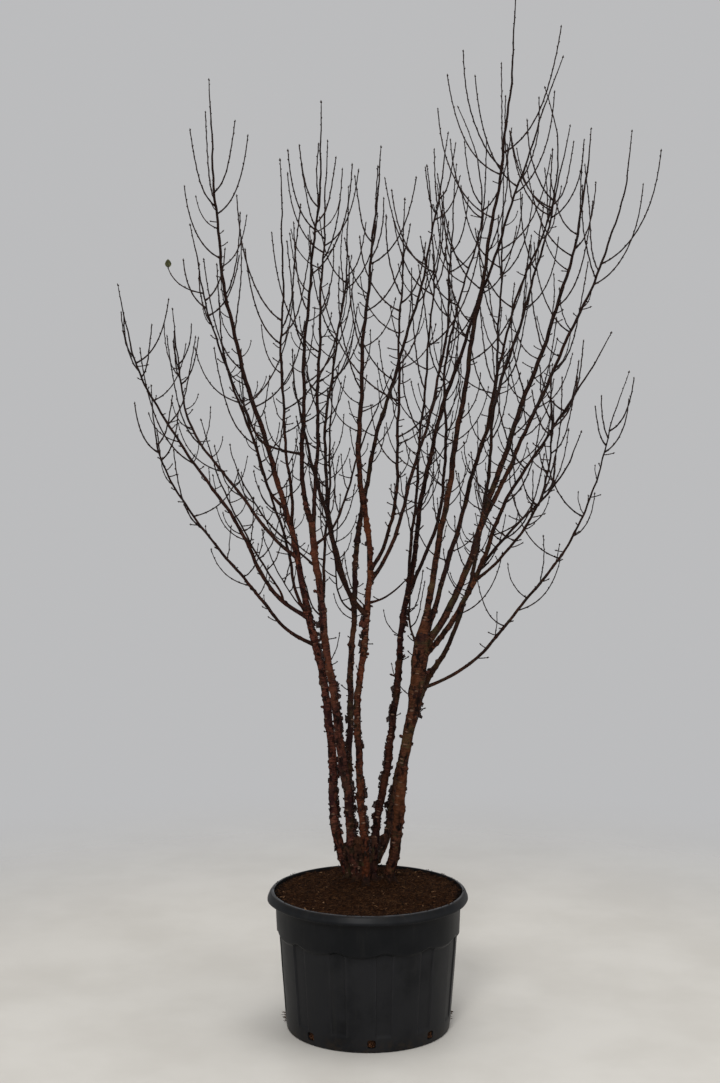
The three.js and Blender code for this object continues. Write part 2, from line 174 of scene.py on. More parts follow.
SPUR_SPACING = (24, 66)
STEM_SPUR_SPACING = (60, 150)
SPARSE = 3
SPARSE_LEADERS = ("c1", "d3", "e1", "e2", "e3", "f1", "f2", "f4", "g1")
SPUR_LENGTH = (9, 52)
SPUR_GIRTH = 4.8
TWIG_GIRTH = 1.08
TWIG_TAPER = 0.36
TWIG_SIDES = 5
NODE_SPACING = (27, 42)
NODE_SWELL = 0.24
BUD_LENGTH = 7.0
BUD_WIDTH = 3.7
BUD_TURN = 144
FINE_SEED = 77

# Name, place of the foot, run to the right and away while it rises, bends to
# the right, girth and girth at its top. The bends are an arch, a sway, a ripple
# and, on a limb that sets off nearly level, an elbow where it starts.
STEM_ROWS = [
    ("a", -94, 150, -165, -30, 1154, (16, -16, -5, 0), 44, 31),
    ("b", -57, 97, -183, -67, 1551, (7, 7, 1, 0), 44, 28),
    ("c", -72, 215, 25, 115, 1432, (-17, -1, 1, 0), 34, 22),
    ("d", -8, 70, -10, -70, 1629, (-14, -20, 13, 0), 38, 25),
    ("e", 24, 117, 155, 43, 1277, (-6, -3, -8, 0), 38, 27),
    ("f", 112, 105, 124, -45, 1068, (-18, -6, 2, 0), 48, 66),
    ("g", 47, 172, 226, 98, 871, (-28, 4, 1, 0), 34, 24),
]

# Name, the limb that it leaves and the height where it does, none for one that
# runs on from the top of its stem, run, bends, girth and bare share.
LEADER_ROWS = [
    ("a1", "a", None, -418, -20, 2260, (-80, 24, 13, 4), 27, 0.36),
    ("a2", "a1", 2153, -354, -565, 1158, (5, 22, 6, -87), 13, 0),
    ("a3", "a1", 2081, -7, -816, 1459, (-27, -13, 2, 33), 14, 0.3),
    ("a4", "a", 1690, -808, -21, 1409, (-23, 60, 7, -173), 18, 0.42),
    ("a5", "a1", 1945, -567, 383, 1065, (-125, 11, 20, -65), 15, 0.38),
    ("a6", "a", 1571, -635, -574, 1105, (-84, 42, 8, -128), 15, 0.42),
    ("b1", "b", None, 47, -281, 1720, (1, -6, 8, -60), 20, 0.3),
    ("b2", "b", 2060, 56, 388, 1688, (-5, 0, 2, 8), 18, 0.3),
    ("c1", "c", None, 403, 121, 1801, (11, -24, -5, 3), 21, 0.36),
    ("c2", "c", 1718, -27, 473, 1862, (-80, -39, 5, -25), 18, 0.4),
    ("d1", "d", None, 69, -101, 1477, (-13, -2, 3, -34), 23, 0.28),
    ("d2", "d", 1905, 130, -712, 1486, (20, 12, 4, 59), 16, 0.34),
    ("d3", "d", 1855, 396, 635, 1813, (64, -8, -14, 83), 17, 0.4),
    ("e1", "e", None, 649, -60, 2234, (-79, -26, -7, 25), 22, 0.36),
    ("e2", "e", 1800, 58, -639, 1741, (41, -12, 6, -14), 14, 0.36),
    ("e3", "e", 1770, 241, 442, 2153, (131, -20, 56, -11), 16, 0.4),
    ("f1", "f", None, 388, -11, 2733, (46, -10, 7, -15), 28, 0.4),
    ("f2", "f", 1590, 670, 438, 2235, (18, -15, 3, 17), 23, 0.38),
    ("f3", "f", 1570, 711, -13, 2184, (52, -29, 6, 92), 31, 0.38),
    ("f4", "f2", 2181, 290, -519, 1694, (93, -37, 30, -36), 14, 0.26),
    ("f5", "f3", 2090, 675, 291, 1693, (80, -22, 6, 0), 19, 0.34),
    ("f6", "f", 1520, 716, -665, 1362, (-27, 15, 20, 30), 28, 0.46),
    ("f7", "f6", 1931, 407, -47, 557, (40, -15, -2, 0), 13, 0),
    ("f8", "f6", 1880, 251, -627, 878, (103, 13, -10, 38), 14, 0.36),
    ("f9", "f", 1388, 906, 50, 1342, (104, -6, -21, 201), 18, 0.5),
    ("g1", "g", None, 353, 481, 2253, (84, 12, 2, 77), 20, 0.42),
]

# Leaders whose top shoot has a length of its own.
OWN_SHOOTS = {
    "a1": 520, "a2": 320, "a3": 660, "b1": 460, "c1": 320, "e1": 560, "f1": 760, "f2": 380, "f5": 630,
}

# Thinner limbs that only the scene has, told in the same way.
THIN_ROWS = [
    ("a7", "a4", 1758, -316, -369, 778, (-51, -4, 0, 40), 10, 0),
    ("b3", "b", 2004, 334, 185, 735, (-18, 1, 0, 74), 11, 0),
    ("b4", "b1", 2389, -353, 214, 479, (4, 11, 0, -192), 10, 0),
    ("d5", "d", 1711, -310, -121, 1111, (-26, 7, -6, -59), 21, 0),
    ("a8", "a", 1700, -294, 129, 1126, (-8, 27, 0, -54), 14, 0),
    ("a9", "a", 1690, -192, -121, 380, (-38, -5, 0, 16), 7, 0),
    ("b5", "b", 1740, 55, 154, 1128, (0, 2, -3, 2), 14, 0),
    ("b6", "b", 1860, -389, 279, 553, (-106, -7, 0, 84), 11, 0),
    ("b7", "b", 1700, -115, 172, 330, (-16, 1, 0, -28), 7, 0),
    ("c3", "c", 1690, -56, -185, 518, (-23, -7, 0, -54), 8, 0),
    ("d4", "d", 1762, 191, 181, 119, (23, 1, 0, 33), 9, 0),
    ("f0", "f", 1541, -10, 236, 504, (-32, -7, 0, -10), 10, 0),
]


def unit(vectors):
    return vectors / np.linalg.norm(vectors, axis=-1, keepdims=True)


def step_up(low, high, value):
    share = np.clip((value - low) / (high - low), 0, 1)
    return share * share * (3 - 2 * share)


def polar(turn):
    """The level way that a turn from +X points."""
    return np.array((math.cos(turn), math.sin(turn), 0))


def from_front(turn):
    """The level way that a turn from the pot's front points."""
    return np.array((math.sin(turn), -math.cos(turn), 0))


# Where limbs run and how thick they are.

@dataclass
class Limb:
    """A stem or leader: where it starts, how it runs and how thick it is."""

    name: str
    start: np.ndarray
    right: float
    away: float
    rise: float
    bends: tuple
    girth: float
    top: float = LEADER_TIP
    bare: float = 1.0
    shoot: float = None
    depth_bow: float = 0.0
    seed: float = 0.0
    carrier: object = None
    shift: object = 0.0
    gather: object = 0.0


def along(limb, share):
    """The limb's places in the solids, at shares of its rise from 0 to 1."""
    share = np.asarray(share, float)
    arch = 4 * share * (1 - share)
    bow, sway, ripple, elbow = limb.bends
    bent = bow * arch + sway * np.sin(FULL_TURN * share) + ripple * np.sin(1.5 * FULL_TURN * share)
    bent = bent + elbow * (1 - np.exp(-share / ELBOW_SHARE)) * (1 - share)
    x = limb.start[0] + limb.right * share + bent
    y = limb.start[1] + limb.away * (share + limb.depth_bow * arch)
    return np.stack([x, y, limb.start[2] + limb.rise * share], axis=-1)


def stray_of(limb, share):
    """How far a real limb is off its plain curve: it wanders, though not at its
    two ends, it starts where its carrier is, and stems gather at the soil."""
    share = np.asarray(share, float)
    climb = limb.rise * share
    wander = np.zeros(share.shape + (3,))
    for i, (length, size) in enumerate(WANDERS):
        phase = limb.seed * (1.7 + i)
        wander[..., 0] += size * np.sin(FULL_TURN * climb / length + phase)
        wander[..., 1] += size * np.cos(FULL_TURN * climb / length * 0.83 + 2 * phase)
    calm = np.clip(8 * share * (1 - share), 0, 1)[..., None]
    gathered = np.exp(-(climb / FOOT_HEIGHT) ** 2)[..., None] * limb.gather
    return wander * calm + limb.shift * (1 - share)[..., None] + gathered


def path_of(limb, share):
    return along(limb, share) + stray_of(limb, share)


def stem_radius(stem, share, grown, flare):
    flared = 1 + flare * np.exp(-stem.rise * share / FLARE_HEIGHT)
    return (stem.girth + (stem.top - stem.girth) * grown) * flared / 2


def leader_radius(leader, share):
    return (LEADER_TIP + (leader.girth - LEADER_TIP) * (1 - share) ** LEADER_TAPER) / 2


def radius_of(limb, share):
    """The radius that is seen. A stem is less flared than in the solids, and one
    that swells below its fork stays about the same until there."""
    share = np.asarray(share, float)
    if limb.carrier is None:
        share = np.maximum(share, 0)
        grown = step_up(*LATE_GROWTH[limb.name], share) if limb.name in LATE_GROWTH else share
        radius = stem_radius(limb, share, grown, SEEN_FLARE)
    else:
        radius = leader_radius(limb, share)
    return radius * SLIMMER.get(limb.name, 1)


def plan_limbs():
    """All the stems and leaders, by name."""
    limbs = {}
    for i, (name, x, y, right, away, rise, bends, girth, top) in enumerate(STEM_ROWS):
        foot = np.array((x, y, SOIL_LEVEL + CLEAR))
        gather = np.array((*FOOT_SHIFTS[name], 0))
        limbs[name] = Limb(name, foot, right, away, rise, bends, girth, top, seed=i + 0.5, gather=gather)
    for i, (name, on, level, right, away, rise, bends, girth, bare) in enumerate(LEADER_ROWS + THIN_ROWS):
        carrier = limbs[on]
        top = carrier.start[2] + carrier.rise - SUNK_IN_STEM
        share = ((level or top) - carrier.start[2]) / carrier.rise
        limbs[name] = Limb(
            name, along(carrier, share), right, away, rise, bends, girth, bare=bare,
            shoot=OWN_SHOOTS.get(name), depth_bow=LEADER_DEPTH_BOW, seed=i + 9.2,
            carrier=carrier, shift=stray_of(carrier, share),
        )
    return limbs


LIMBS = plan_limbs()
STEMS = [LIMBS[row[0]] for row in STEM_ROWS]
LEADERS = [LIMBS[row[0]] for row in LEADER_ROWS]
THIN_LIMBS = [LIMBS[row[0]] for row in THIN_ROWS]
TOP_LEADERS = {row[1]: LIMBS[row[0]] for row in LEADER_ROWS if row[2] is None}


# The straight stretches of the solids' limbs, which shoots keep clear of.

def stretches_of(places, radii):
    return places[:-1], places[1:], np.maximum(radii[:-1], radii[1:])


def distances(one, other):
    """The least distances between each stretch of one set and each of another."""
    d1 = (one[1] - one[0])[:, None]
    d2 = (other[1] - other[0])[None]
    between = one[0][:, None] - other[0][None]
    a, e, b = (d1 * d1).sum(-1), (d2 * d2).sum(-1), (d1 * d2).sum(-1)
    c, f = (d1 * between).sum(-1), (d2 * between).sum(-1)
    spread = a * e - b * b
    crossing = spread > 1e-9
    s = np.where(crossing, np.clip((b * f - c * e) / np.where(crossing, spread, 1), 0, 1), 0)
    t = np.clip((b * s + f) / e, 0, 1)
    s = np.clip((b * t - c) / a, 0, 1)
    return np.linalg.norm(between + d1 * s[..., None] - d2 * t[..., None], axis=-1)


class Thicket:
    """Every limb and shoot that is placed so far."""

    def __init__(self):
        self.names = []
        self.stretches = []

    def remember(self, name, places, radii):
        stretches = stretches_of(places, radii)
        self.names += [name] * len(stretches[0])
        self.stretches.append(stretches)

    def room(self, stretches, own_names):
        """The least room between stretches and whatever has another name."""
        far = ~np.isin(self.names, own_names)
        others = [np.concatenate(parts)[far] for parts in zip(*self.stretches)]
        gaps = distances(stretches, others) - stretches[2][:, None] - others[2][None]
        return gaps.min()


def shares_between(start, end, rings, crowding=1.0):
    return start + (end - start) * (np.arange(rings + 1) / rings) ** crowding


def twig_stem_shares(leader):
    crowding = RING_CROWDING if leader.bare == 0 else 1
    return shares_between(leader.bare, 1, LEADER_RINGS, crowding)


def plan_thicket():
    """The thicket with the solids' stems, boughs and the leaders above them."""
    thicket = Thicket()
    for stem in STEMS:
        shares = shares_between(0, 1, STEM_RINGS, RING_CROWDING)
        radii = stem_radius(stem, shares, shares, STEM_FLARE)
        radii[-1] *= STEM_SHOULDER
        thicket.remember("stem_" + stem.name, along(stem, shares), radii)
    for leader in LEADERS:
        if leader.bare > 0:
            shares = shares_between(0, leader.bare, BOUGH_RINGS, RING_CROWDING)
            thicket.remember("bough_" + leader.name, along(leader, shares), leader_radius(leader, shares))
        shares = twig_stem_shares(leader)
        radii = leader_radius(leader, shares)
        radii[-1] = 0
        thicket.remember("twigs_" + leader.name, along(leader, shares), radii)
    return thicket


# The side shoots of the solids.

@dataclass
class Shoot:
    """A side shoot: it goes out fast and up late."""

    start: np.ndarray
    rise: float
    reach: float
    turn: float
    girth: float = SHOOT_GIRTH
    stray: object = 0.0
    bend: float = 0.0

    def side(self):
        return np.cross(UP, polar(self.turn))

    def places(self, share):
        share = np.asarray(share, float)[..., None]
        out = self.reach * share * (1.6 - 0.6 * share) * polar(self.turn)
        up = self.rise * share * (0.35 + 0.65 * share) * UP
        bend = self.bend * share * np.sin(2.2 * np.pi * share) * self.side()
        return self.start + self.stray + out + up + bend


def random_source(seed):
    """The same random numbers each time as in the solids, from 0 to 1."""
    state = seed
    while True:
        state = state * 48271 % 2147483647
        yield state / 2147483647


def top_shoot_of(leader):
    return leader.shoot or min(TOP_SHOOT, TOP_SHOOT_SHARE * leader.rise * (1 - leader.bare))


def plan_shoots(leader, seed):
    """A whorl below the top shoot, then one after another down to the bough."""
    source = random_source(seed)

    def between(least, most):
        return least + (most - least) * next(source)

    length = leader.rise * (1 - leader.bare)
    top_shoot = top_shoot_of(leader) * (0.9 + 0.2 * next(source))
    lowest = FIRST_SHOOT_ABOVE * (2 if leader.bare == 0 else 1)
    whorl_depth = top_shoot + WHORL_STEP * WHORL_COUNT
    lower_count = max(1, math.floor((length - lowest - whorl_depth) / SHOOT_SPACING + 0.5))
    first_turn = 360 * next(source)
    rings = along(leader, twig_stem_shares(leader))
    for i in range(WHORL_COUNT + lower_count):
        in_whorl = i < WHORL_COUNT
        lower_share = (i - WHORL_COUNT + 1) / lower_count
        lower = whorl_depth + (length - lowest - whorl_depth) * lower_share
        below = top_shoot + WHORL_STEP * i if in_whorl else lower
        wanted = top_shoot * between(*WHORL_RISE) if in_whorl else between(*SHOOT_RISE)
        rise = min(wanted, 0.9 * below)
        share = 1 - below / leader.rise
        level = leader.start[2] + leader.rise * share
        start = np.array([np.interp(level, rings[:, 2], column) for column in rings.T])
        reach = rise * between(*SHOOT_REACH)
        turn = math.radians(first_turn + GOLDEN_TURN * i + TURN_SPREAD * (next(source) - 0.5))
        yield Shoot(start, rise, reach, turn, stray=path_of(leader, share) - start)


def within_reach(shoot):
    """Whether the shoot's tip stays about inside the solids' box."""
    low, high = (np.array(corner) / MM for corner in cad_box)
    tip = shoot.places(1.0)
    return bool((tip > low - REACH_SLACK).all() and (tip < high + REACH_SLACK / 4).all())


def place_shoot(shoot, thicket, names, clear, tries):
    """Turns the shoot until it has room, and says whether it found any. It may
    touch what has one of the names, and takes the first of them itself."""
    radii = shoot.girth * (1 - SHOOT_TAPER * SHOOT_SHARES) / 2
    radii[-1] = 0
    for _ in range(tries):
        places = Shoot(shoot.start, shoot.rise, shoot.reach, shoot.turn).places(SHOOT_SHARES)
        if thicket.room(stretches_of(places, radii), names) > clear:
            thicket.remember(names[0], places, radii)
            return True
        shoot.turn += math.radians(GOLDEN_TURN)
    return False


# Meshes made of numbers.

@functools.cache
def wrapped_grid(rows, sides):
    """Triangles of a closed tube of rings, with a middle point at each end."""
    i, j = np.meshgrid(np.arange(rows - 1), np.arange(sides), indexing="ij")
    k = (j + 1) % sides
    corners = (i * sides + j, i * sides + k, (i + 1) * sides + k, (i + 1) * sides + j)
    a, b, c, d = (corner.ravel() for corner in corners)
    ring = np.arange(sides)
    after = (ring + 1) % sides
    foot = np.full(sides, rows * sides)
    first = np.stack([foot, after, ring], 1)
    last = np.stack([foot + 1, (rows - 1) * sides + ring, (rows - 1) * sides + after], 1)
    return np.concatenate([np.stack([a, b, c], 1), np.stack([a, c, d], 1), first, last])


def sheet_faces(rows, columns):
    """Triangles of a thin closed sheet, whose back's points follow its front's."""
    i, j = np.meshgrid(np.arange(rows - 1), np.arange(columns - 1), indexing="ij")
    a = (i * columns + j).ravel()
    b, c, d = a + 1, a + columns + 1, a + columns
    front = np.concatenate([np.stack([a, b, c], 1), np.stack([a, c, d], 1)])
    rim = np.concatenate([
        np.arange(columns),
        np.arange(1, rows) * columns + columns - 1,
        (rows - 1) * columns + np.arange(columns - 2, -1, -1),
        np.arange(rows - 2, 0, -1) * columns,
    ])
    after, under = np.roll(rim, -1), rim + rows * columns
    under_after = np.roll(under, -1)
    edge = np.concatenate([np.stack([rim, under, under_after], 1), np.stack([rim, under_after, after], 1)])
    return np.concatenate([front, front[:, ::-1] + rows * columns, edge])


def lengths_along(places):
    steps = np.linalg.norm(np.diff(places, axis=0), axis=1)
    return np.concatenate([[0], np.cumsum(steps)])


def ring_turns(sides):
    return np.linspace(0, FULL_TURN, sides, endpoint=False)


def spread_out(values, places, sides):
    """Values that are one for each ring, or for each ring and side, as the latter."""
    return np.broadcast_to(np.reshape(values, (len(places), -1)), (len(places), sides))


def tube(places, radii, sides, reference=RIGHT):
    """Points and triangles of a closed tube."""
    run = unit(np.gradient(places, axis=0))
    side = unit(reference - (run @ reference)[:, None] * run)
    turn = ring_turns(sides)[None, :, None]
    ring = np.cos(turn) * side[:, None] + np.sin(turn) * np.cross(run, side)[:, None]
    points = places[:, None] + ring * spread_out(radii, places, sides)[..., None]
    points = np.concatenate([points.reshape(-1, 3), places[:1], places[-1:]])
    return points, wrapped_grid(len(places), sides)


def straightened(places, radii, sides, seed):
    """The same tube's points as if the limb were straight, for its grain."""
    turn = ring_turns(sides)
    reach = spread_out(radii, places, sides)
    climb = spread_out(lengths_along(places), places, sides)
    points = np.stack([reach * np.cos(turn), reach * np.sin(turn), climb], -1).reshape(-1, 3)
    ends = np.array([(0, 0, climb[0, 0]), (0, 0, climb[-1, 0])])
    return np.concatenate([points, ends]) + np.array((211, 97, 1303)) * seed


def copies(shape, faces, sizes, axes, places):
    """Points and triangles of many copies of a shape, sized, turned and placed."""
    points = np.einsum("nki,nij->nkj", shape * sizes[:, None], axes) + places[:, None]
    steps = np.arange(len(places))[:, None, None] * shape.shape[-2]
    return points.reshape(-1, 3), (faces + steps).reshape(-1, 3)


def grain(points, size, seed=0):
    """Smooth noise from about -1 to 1, whose bumps are about size across."""
    points = np.asarray(points)
    scaled = points.reshape(-1, 3) / np.asarray(size, float) + 17.3 * (seed + 1)
    values = np.array([noise.noise(place) for place in scaled.tolist()])
    return values.reshape(points.shape[:-1])


class Pile:
    """Closed shapes gathered to become one mesh, with what each point carries."""

    def __init__(self):
        self.points = []
        self.faces = []
        self.carried = {}
        self.count = 0

    def add(self, points, faces, **carried):
        self.points.append(points)
        self.faces.append(faces + self.count)
        self.count += len(points)
        for name, values in carried.items():
            self.carried.setdefault(name, []).append(values)

    def mesh(self, name, smooth=True):
        carried = {key: np.concatenate(values) for key, values in self.carried.items()}
        return make_mesh(name, np.concatenate(self.points), np.concatenate(self.faces), smooth, carried)

    def piece(self, name, material, slot, replaced=(), smooth=True):
        declare(put_in_scene(name, self.mesh(name, smooth)), material, replaced)


def make_mesh(name, points, faces, smooth=True, carried=None):
    mesh = bpy.data.meshes.new(name)
    mesh.vertices.add(len(points))
    mesh.vertices.foreach_set("co", (points * MM).astype(np.float32).ravel())
    mesh.loops.add(faces.size)
    mesh.loops.foreach_set("vertex_index", faces.astype(np.int32).ravel())
    mesh.polygons.add(len(faces))
    mesh.polygons.foreach_set("loop_start", np.arange(0, faces.size, 3, dtype=np.int32))
    mesh.update(calc_edges=True)
    mesh.polygons.foreach_set("use_smooth", np.full(len(faces), smooth))
    for key, values in (carried or {}).items():
        kind, field_name = ("FLOAT_VECTOR", "vector") if values.ndim == 2 else ("FLOAT", "value")
        made = mesh.attributes.new(key, kind, "POINT")
        made.data.foreach_set(field_name, values.astype(np.float32).ravel())
    return mesh


def put_in_scene(name, data):
    made = bpy.data.objects.new(name, data)
    bpy.context.scene.collection.objects.link(made)
    return made


def declare(piece, material, replaced=()):
    """Gives a piece its material, hangs it on the root body and hides the solids' parts that it replaces.
    """
    piece.data.materials.clear()
    piece.data.materials.append(material)
    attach(piece, "root")
    if replaced:
        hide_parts(*replaced)


def apply_modifiers(obj):
    bpy.context.view_layer.update()
    graph = bpy.context.evaluated_depsgraph_get()
    obj.data = bpy.data.meshes.new_from_object(obj.evaluated_get(graph), depsgraph=graph)
    obj.modifiers.clear()


# Materials.

TWIG_BROWN = (0.0070, 0.0036, 0.0028)
TWIG_PALE = (0.0215, 0.0098, 0.0066)
DARK_AT_SOIL = (0.0085, 0.0036, 0.0019)
LENTICEL = (0.135, 0.078, 0.052)
MOSS = (0.050, 0.040, 0.016)
DARKER_BELOW = (0.587, 0.547)


class Paint:
    """A material in the making: its nodes, where it is looked up and its colour."""

    def __init__(self, name, **values):
        self.material = bpy.data.materials.new(name)
        self.material.use_nodes = True
        self.tree = self.material.node_tree
        self.shader = self.tree.nodes["Principled BSDF"]
        for key, value in values.items():
            self.shader.inputs[key.replace("_", " ")].default_value = value
        self.place = self.node("TexCoord", {})["Object"]
        self.at = self.place
        self.colour = None

    def node(self, kind, inputs, **settings):
        """Adds a shader node. Each input is a value or another node's output."""
        made = self.tree.nodes.new("ShaderNode" + kind)
        for key, value in settings.items():
            setattr(made, key, value)
        for key, value in inputs.items():
            if isinstance(value, bpy.types.NodeSocket):
                self.tree.links.new(value, made.inputs[key])
            else:
                made.inputs[key].default_value = value
        return made.outputs

    def carried(self, name, output="Fac"):
        return self.node("Attribute", {}, attribute_name=name)[output]

    def stretched(self, scale):
        return self.node("Mapping", {"Vector": self.at, "Scale": scale})["Vector"]

    def clouds(self, scale, detail=3.0, roughness=0.55):
        """Noise, its scale the same for all axes or one for each."""
        at = self.at
        if isinstance(scale, tuple):
            at, scale = self.stretched(scale), 1.0
        inputs = {"Vector": at, "Scale": scale, "Detail": detail, "Roughness": roughness}
        return self.node("TexNoise", inputs)["Fac"]

    def ramp(self, value, low, high):
        """Runs from 0 at low to 1 at high."""
        inputs = {"Value": value, "From Min": low, "From Max": high}
        return self.node("MapRange", inputs, interpolation_type="SMOOTHSTEP")["Result"]

    def math(self, one, other, operation="MULTIPLY"):
        return self.node("Math", {0: one, 1: other}, operation=operation)[0]

    def far(self, places):
        return self.node("VectorMath", {0: places}, operation="LENGTH")["Value"]

    def mix(self, share, *colours):
        one, other = (each if isinstance(each, bpy.types.NodeSocket) else (*each, 1) for each in colours)
        return self.node("Mix", {0: share, 6: one, 7: other}, data_type="RGBA")[2]

    def base(self, value, low, high, dark, light):
        self.colour = self.mix(self.ramp(value, low, high), dark, light)

    def cover(self, share, colour):
        self.colour = self.mix(share, self.colour, colour)

    def set(self, key, output):
        self.tree.links.new(output, self.shader.inputs[key])

    def finish(self, relief, distance, strength=1.0, rough=None):
        """Sets the colour, the relief and, where it varies, the roughness."""
        self.set("Base Color", self.colour)
        bump = {"Height": relief, "Distance": distance, "Strength": strength}
        self.set("Normal", self.node("Bump", bump)["Normal"])
        if rough:
            spread = {"Value": rough[0], "To Min": rough[1], "To Max": rough[2]}
            self.set("Roughness", self.node("MapRange", spread)["Result"])
        return self.material


def lenticels(paint, cell=0.034, height=0.013, share=0.26):
    """Marks that lie across the limb, in some of the cells of a stretched grid."""
    wide = paint.stretched((1 / cell, 1 / cell, 1 / height))
    cells = paint.node("TexVoronoi", {"Vector": wide, "Scale": 1.0, "Randomness": 1.0})
    chance = paint.node("SeparateColor", {"Color": cells["Color"]})["Red"]
    marked = paint.ramp(chance, 1 - share, 1.02 - share)
    return paint.math(paint.ramp(cells["Distance"], 0.34, 0.20), marked)


def near_soil(paint):
    """Runs from 1 at the soil to 0 a little above it, with a broken edge."""
    level = paint.node("SeparateXYZ", {"Vector": paint.place})["Z"]
    inputs = {"Vector": paint.place, "Scale": 60, "Detail": 4, "Roughness": 0.7}
    unevenness = paint.math(paint.node("TexNoise", inputs)["Fac"], 0.05)
    return paint.ramp(paint.math(level, unevenness, "SUBTRACT"), *DARKER_BELOW)


def bark_material(name, dark, light, moss):
    """Red-brown bark with fine cross lines, pale marks and some green growth.
    Where the wood is young it takes the colour of the twigs."""
    dark, light = np.array(dark), np.array(light)
    paint = Paint(name, Specular_IOR_Level=0.05)
    paint.at = paint.carried("grain", "Vector")
    across = paint.clouds((34, 34, 150), 5, 0.68)
    patches = paint.clouds((60, 60, 34), 5, 0.62)
    specks = paint.clouds(420, 3, 0.7)
    wide = paint.clouds((9, 9, 4.5), 2)
    paint.base(across, 0.36, 0.66, dark, light)
    paint.cover(paint.ramp(patches, 0.55, 0.40), dark * (0.24, 0.24, 0.28))
    paint.cover(paint.math(paint.ramp(wide, 0.50, 0.66), across), light * (1.25, 1.2, 0.85))
    paint.cover(paint.ramp(wide, 0.46, 0.30), dark * (1, 0.9, 1.3))
    growth = paint.math(paint.ramp(paint.clouds(14, 4, 0.6), 0.5, 0.68), paint.ramp(specks, 0.3, 0.6))
    paint.cover(paint.math(growth, moss), MOSS)
    marks = lenticels(paint)
    paint.cover(paint.math(marks, paint.ramp(specks, 0.25, 0.55)), LENTICEL)
    paint.cover(paint.carried("youth"), paint.mix(paint.ramp(across, 0.4, 0.7), TWIG_BROWN, TWIG_PALE))
    # Darker towards the soil at the foot of each limb.
    paint.cover(near_soil(paint), DARK_AT_SOIL)
    return paint.finish(paint.math(across, marks, "ADD"), 0.0030, rough=(patches, 0.55, 0.9))


def flake_material():
    """Peeling bark, painted dark for the shade that its curls stand in, and here and there coppery."""
    paint = Paint("peeling_bark", Specular_IOR_Level=0.2)
    paint.at = paint.carried("grain", "Vector")
    streaks = paint.clouds((60, 60, 260), 4, 0.6)
    # The dark base colours are painted shade of the curling flakes.
    paint.base(streaks, 0.35, 0.7, (0.0065, 0.0034, 0.0032), (0.030, 0.0115, 0.0072))
    paint.cover(paint.ramp(paint.clouds(45, 2), 0.66, 0.78), (0.11, 0.036, 0.018))
    return paint.finish(streaks, 0.0008, 0.7, rough=(streaks, 0.35, 0.75))


def pot_material():
    """Moulded black plastic with dust, a film that has run down, painted highlights
    along the panels' edges and on the lip, and soil where it touches any. The panels
    are lighter than the band: dust, and painted light from the floor with the band
    in painted shade under the lip."""
    paint = Paint("black_plastic", Specular_IOR_Level=0.13)
    dust = paint.clouds(5.5, 5, 0.62)
    smears = paint.clouds((26, 26, 3.2), 4, 0.6)
    specks = paint.clouds(240, 2, 0.6)
    level = paint.node("SeparateXYZ", {"Vector": paint.at})["Z"]
    paint.base(dust, 0.35, 0.7, (0.0020, 0.0024, 0.0032), (0.0050, 0.0054, 0.0062))
    for where, pattern, low, high, colour in [
        # Panels lighter than the band: dust, and painted light from the floor with the band in painted
        # shade under the lip.
        (paint.ramp(level, 0.41, 0.37), dust, 0.2, 0.6, (0.0098, 0.0100, 0.0112)),
        (paint.ramp(smears, 0.5, 0.8), specks, 0.2, 0.75, (0.013, 0.0126, 0.0120)),
        # Painted highlight along the panels' edges, where light catches the groove walls.
        (paint.carried("worn"), paint.clouds((60, 60, 9), 4), 0.38, 0.62, (0.0140, 0.0140, 0.0152)),
        # Painted highlight on the lip's top and a faint painted line of light on its flange.
        (paint.carried("faded"), paint.clouds(16, 4), 0.15, 0.6, (0.070, 0.072, 0.078)),
        (paint.carried("soiled"), paint.clouds(34, 5, 0.7), 0.42, 0.68, (0.020, 0.0145, 0.010)),
    ]:
        paint.cover(paint.math(where, paint.ramp(pattern, low, high)), colour)
    return paint.finish(paint.math(specks, smears, "ADD"), 0.00035, 0.5, rough=(dust, 0.34, 0.58))


def soil_material():
    """Dark lumps with paler bits, damp in places and in shade along the wall."""
    paint = Paint("growing_soil", Specular_IOR_Level=0.02)
    lumps = paint.clouds(95, 5, 0.7)
    paint.base(lumps, 0.36, 0.68, (0.0056, 0.0022, 0.0011), (0.0248, 0.0098, 0.0042))
    paint.cover(paint.ramp(paint.clouds(620, 2, 0.6), 0.62, 0.78), (0.056, 0.028, 0.014))
    paint.cover(paint.ramp(paint.clouds(9, 3), 0.5, 0.7), (0.0110, 0.0052, 0.0028))
    paint.cover(paint.ramp(paint.far(paint.stretched((1, 1, 0))), 0.364, 0.380), (0.0030, 0.0016, 0.0011))
    return paint.finish(lumps, 0.003, rough=(lumps, 0.75, 1.0))


def mottled(name, dark, light, rough=0.9, gloss=0.06, mottle=(80,), edges=(0.35, 0.65),
            relief=(700,), height=0.0006, strength=0.8):
    """Wood, soil or leaf that is mottled between two colours."""
    paint = Paint(name, Roughness=rough, Specular_IOR_Level=gloss)
    paint.base(paint.clouds(*mottle), *edges, dark, light)
    return paint.finish(paint.clouds(*relief), height, strength)


# Stems and boughs, with the relief of their bark.

STEM_SIDES = 32
STEM_STEP = 3.4
STEM_RUN_ON = 110
BOUGH_SIDES = 16
BOUGH_STEP = 5
LEADER_SIDES = 8
LEADER_STEP = 8
COLLAR = 0.5
COLLAR_REACH = 16
KNOTS_PER_METRE = 60
KNOT_SIZES = (4, 10)
TABLE_STEPS = 241


def smoothed(values, reach):
    """A running mean along the first axis, with both ends left in place."""
    weights = np.hanning(2 * reach + 3)[1:-1]
    weights /= weights.sum()
    before = 2 * values[:1] - values[reach:0:-1]
    after = 2 * values[-1:] - values[-2:-reach - 2:-1]
    padded = np.concatenate([before, values, after])
    return np.stack([np.convolve(column, weights, mode="valid") for column in padded.T], axis=1)


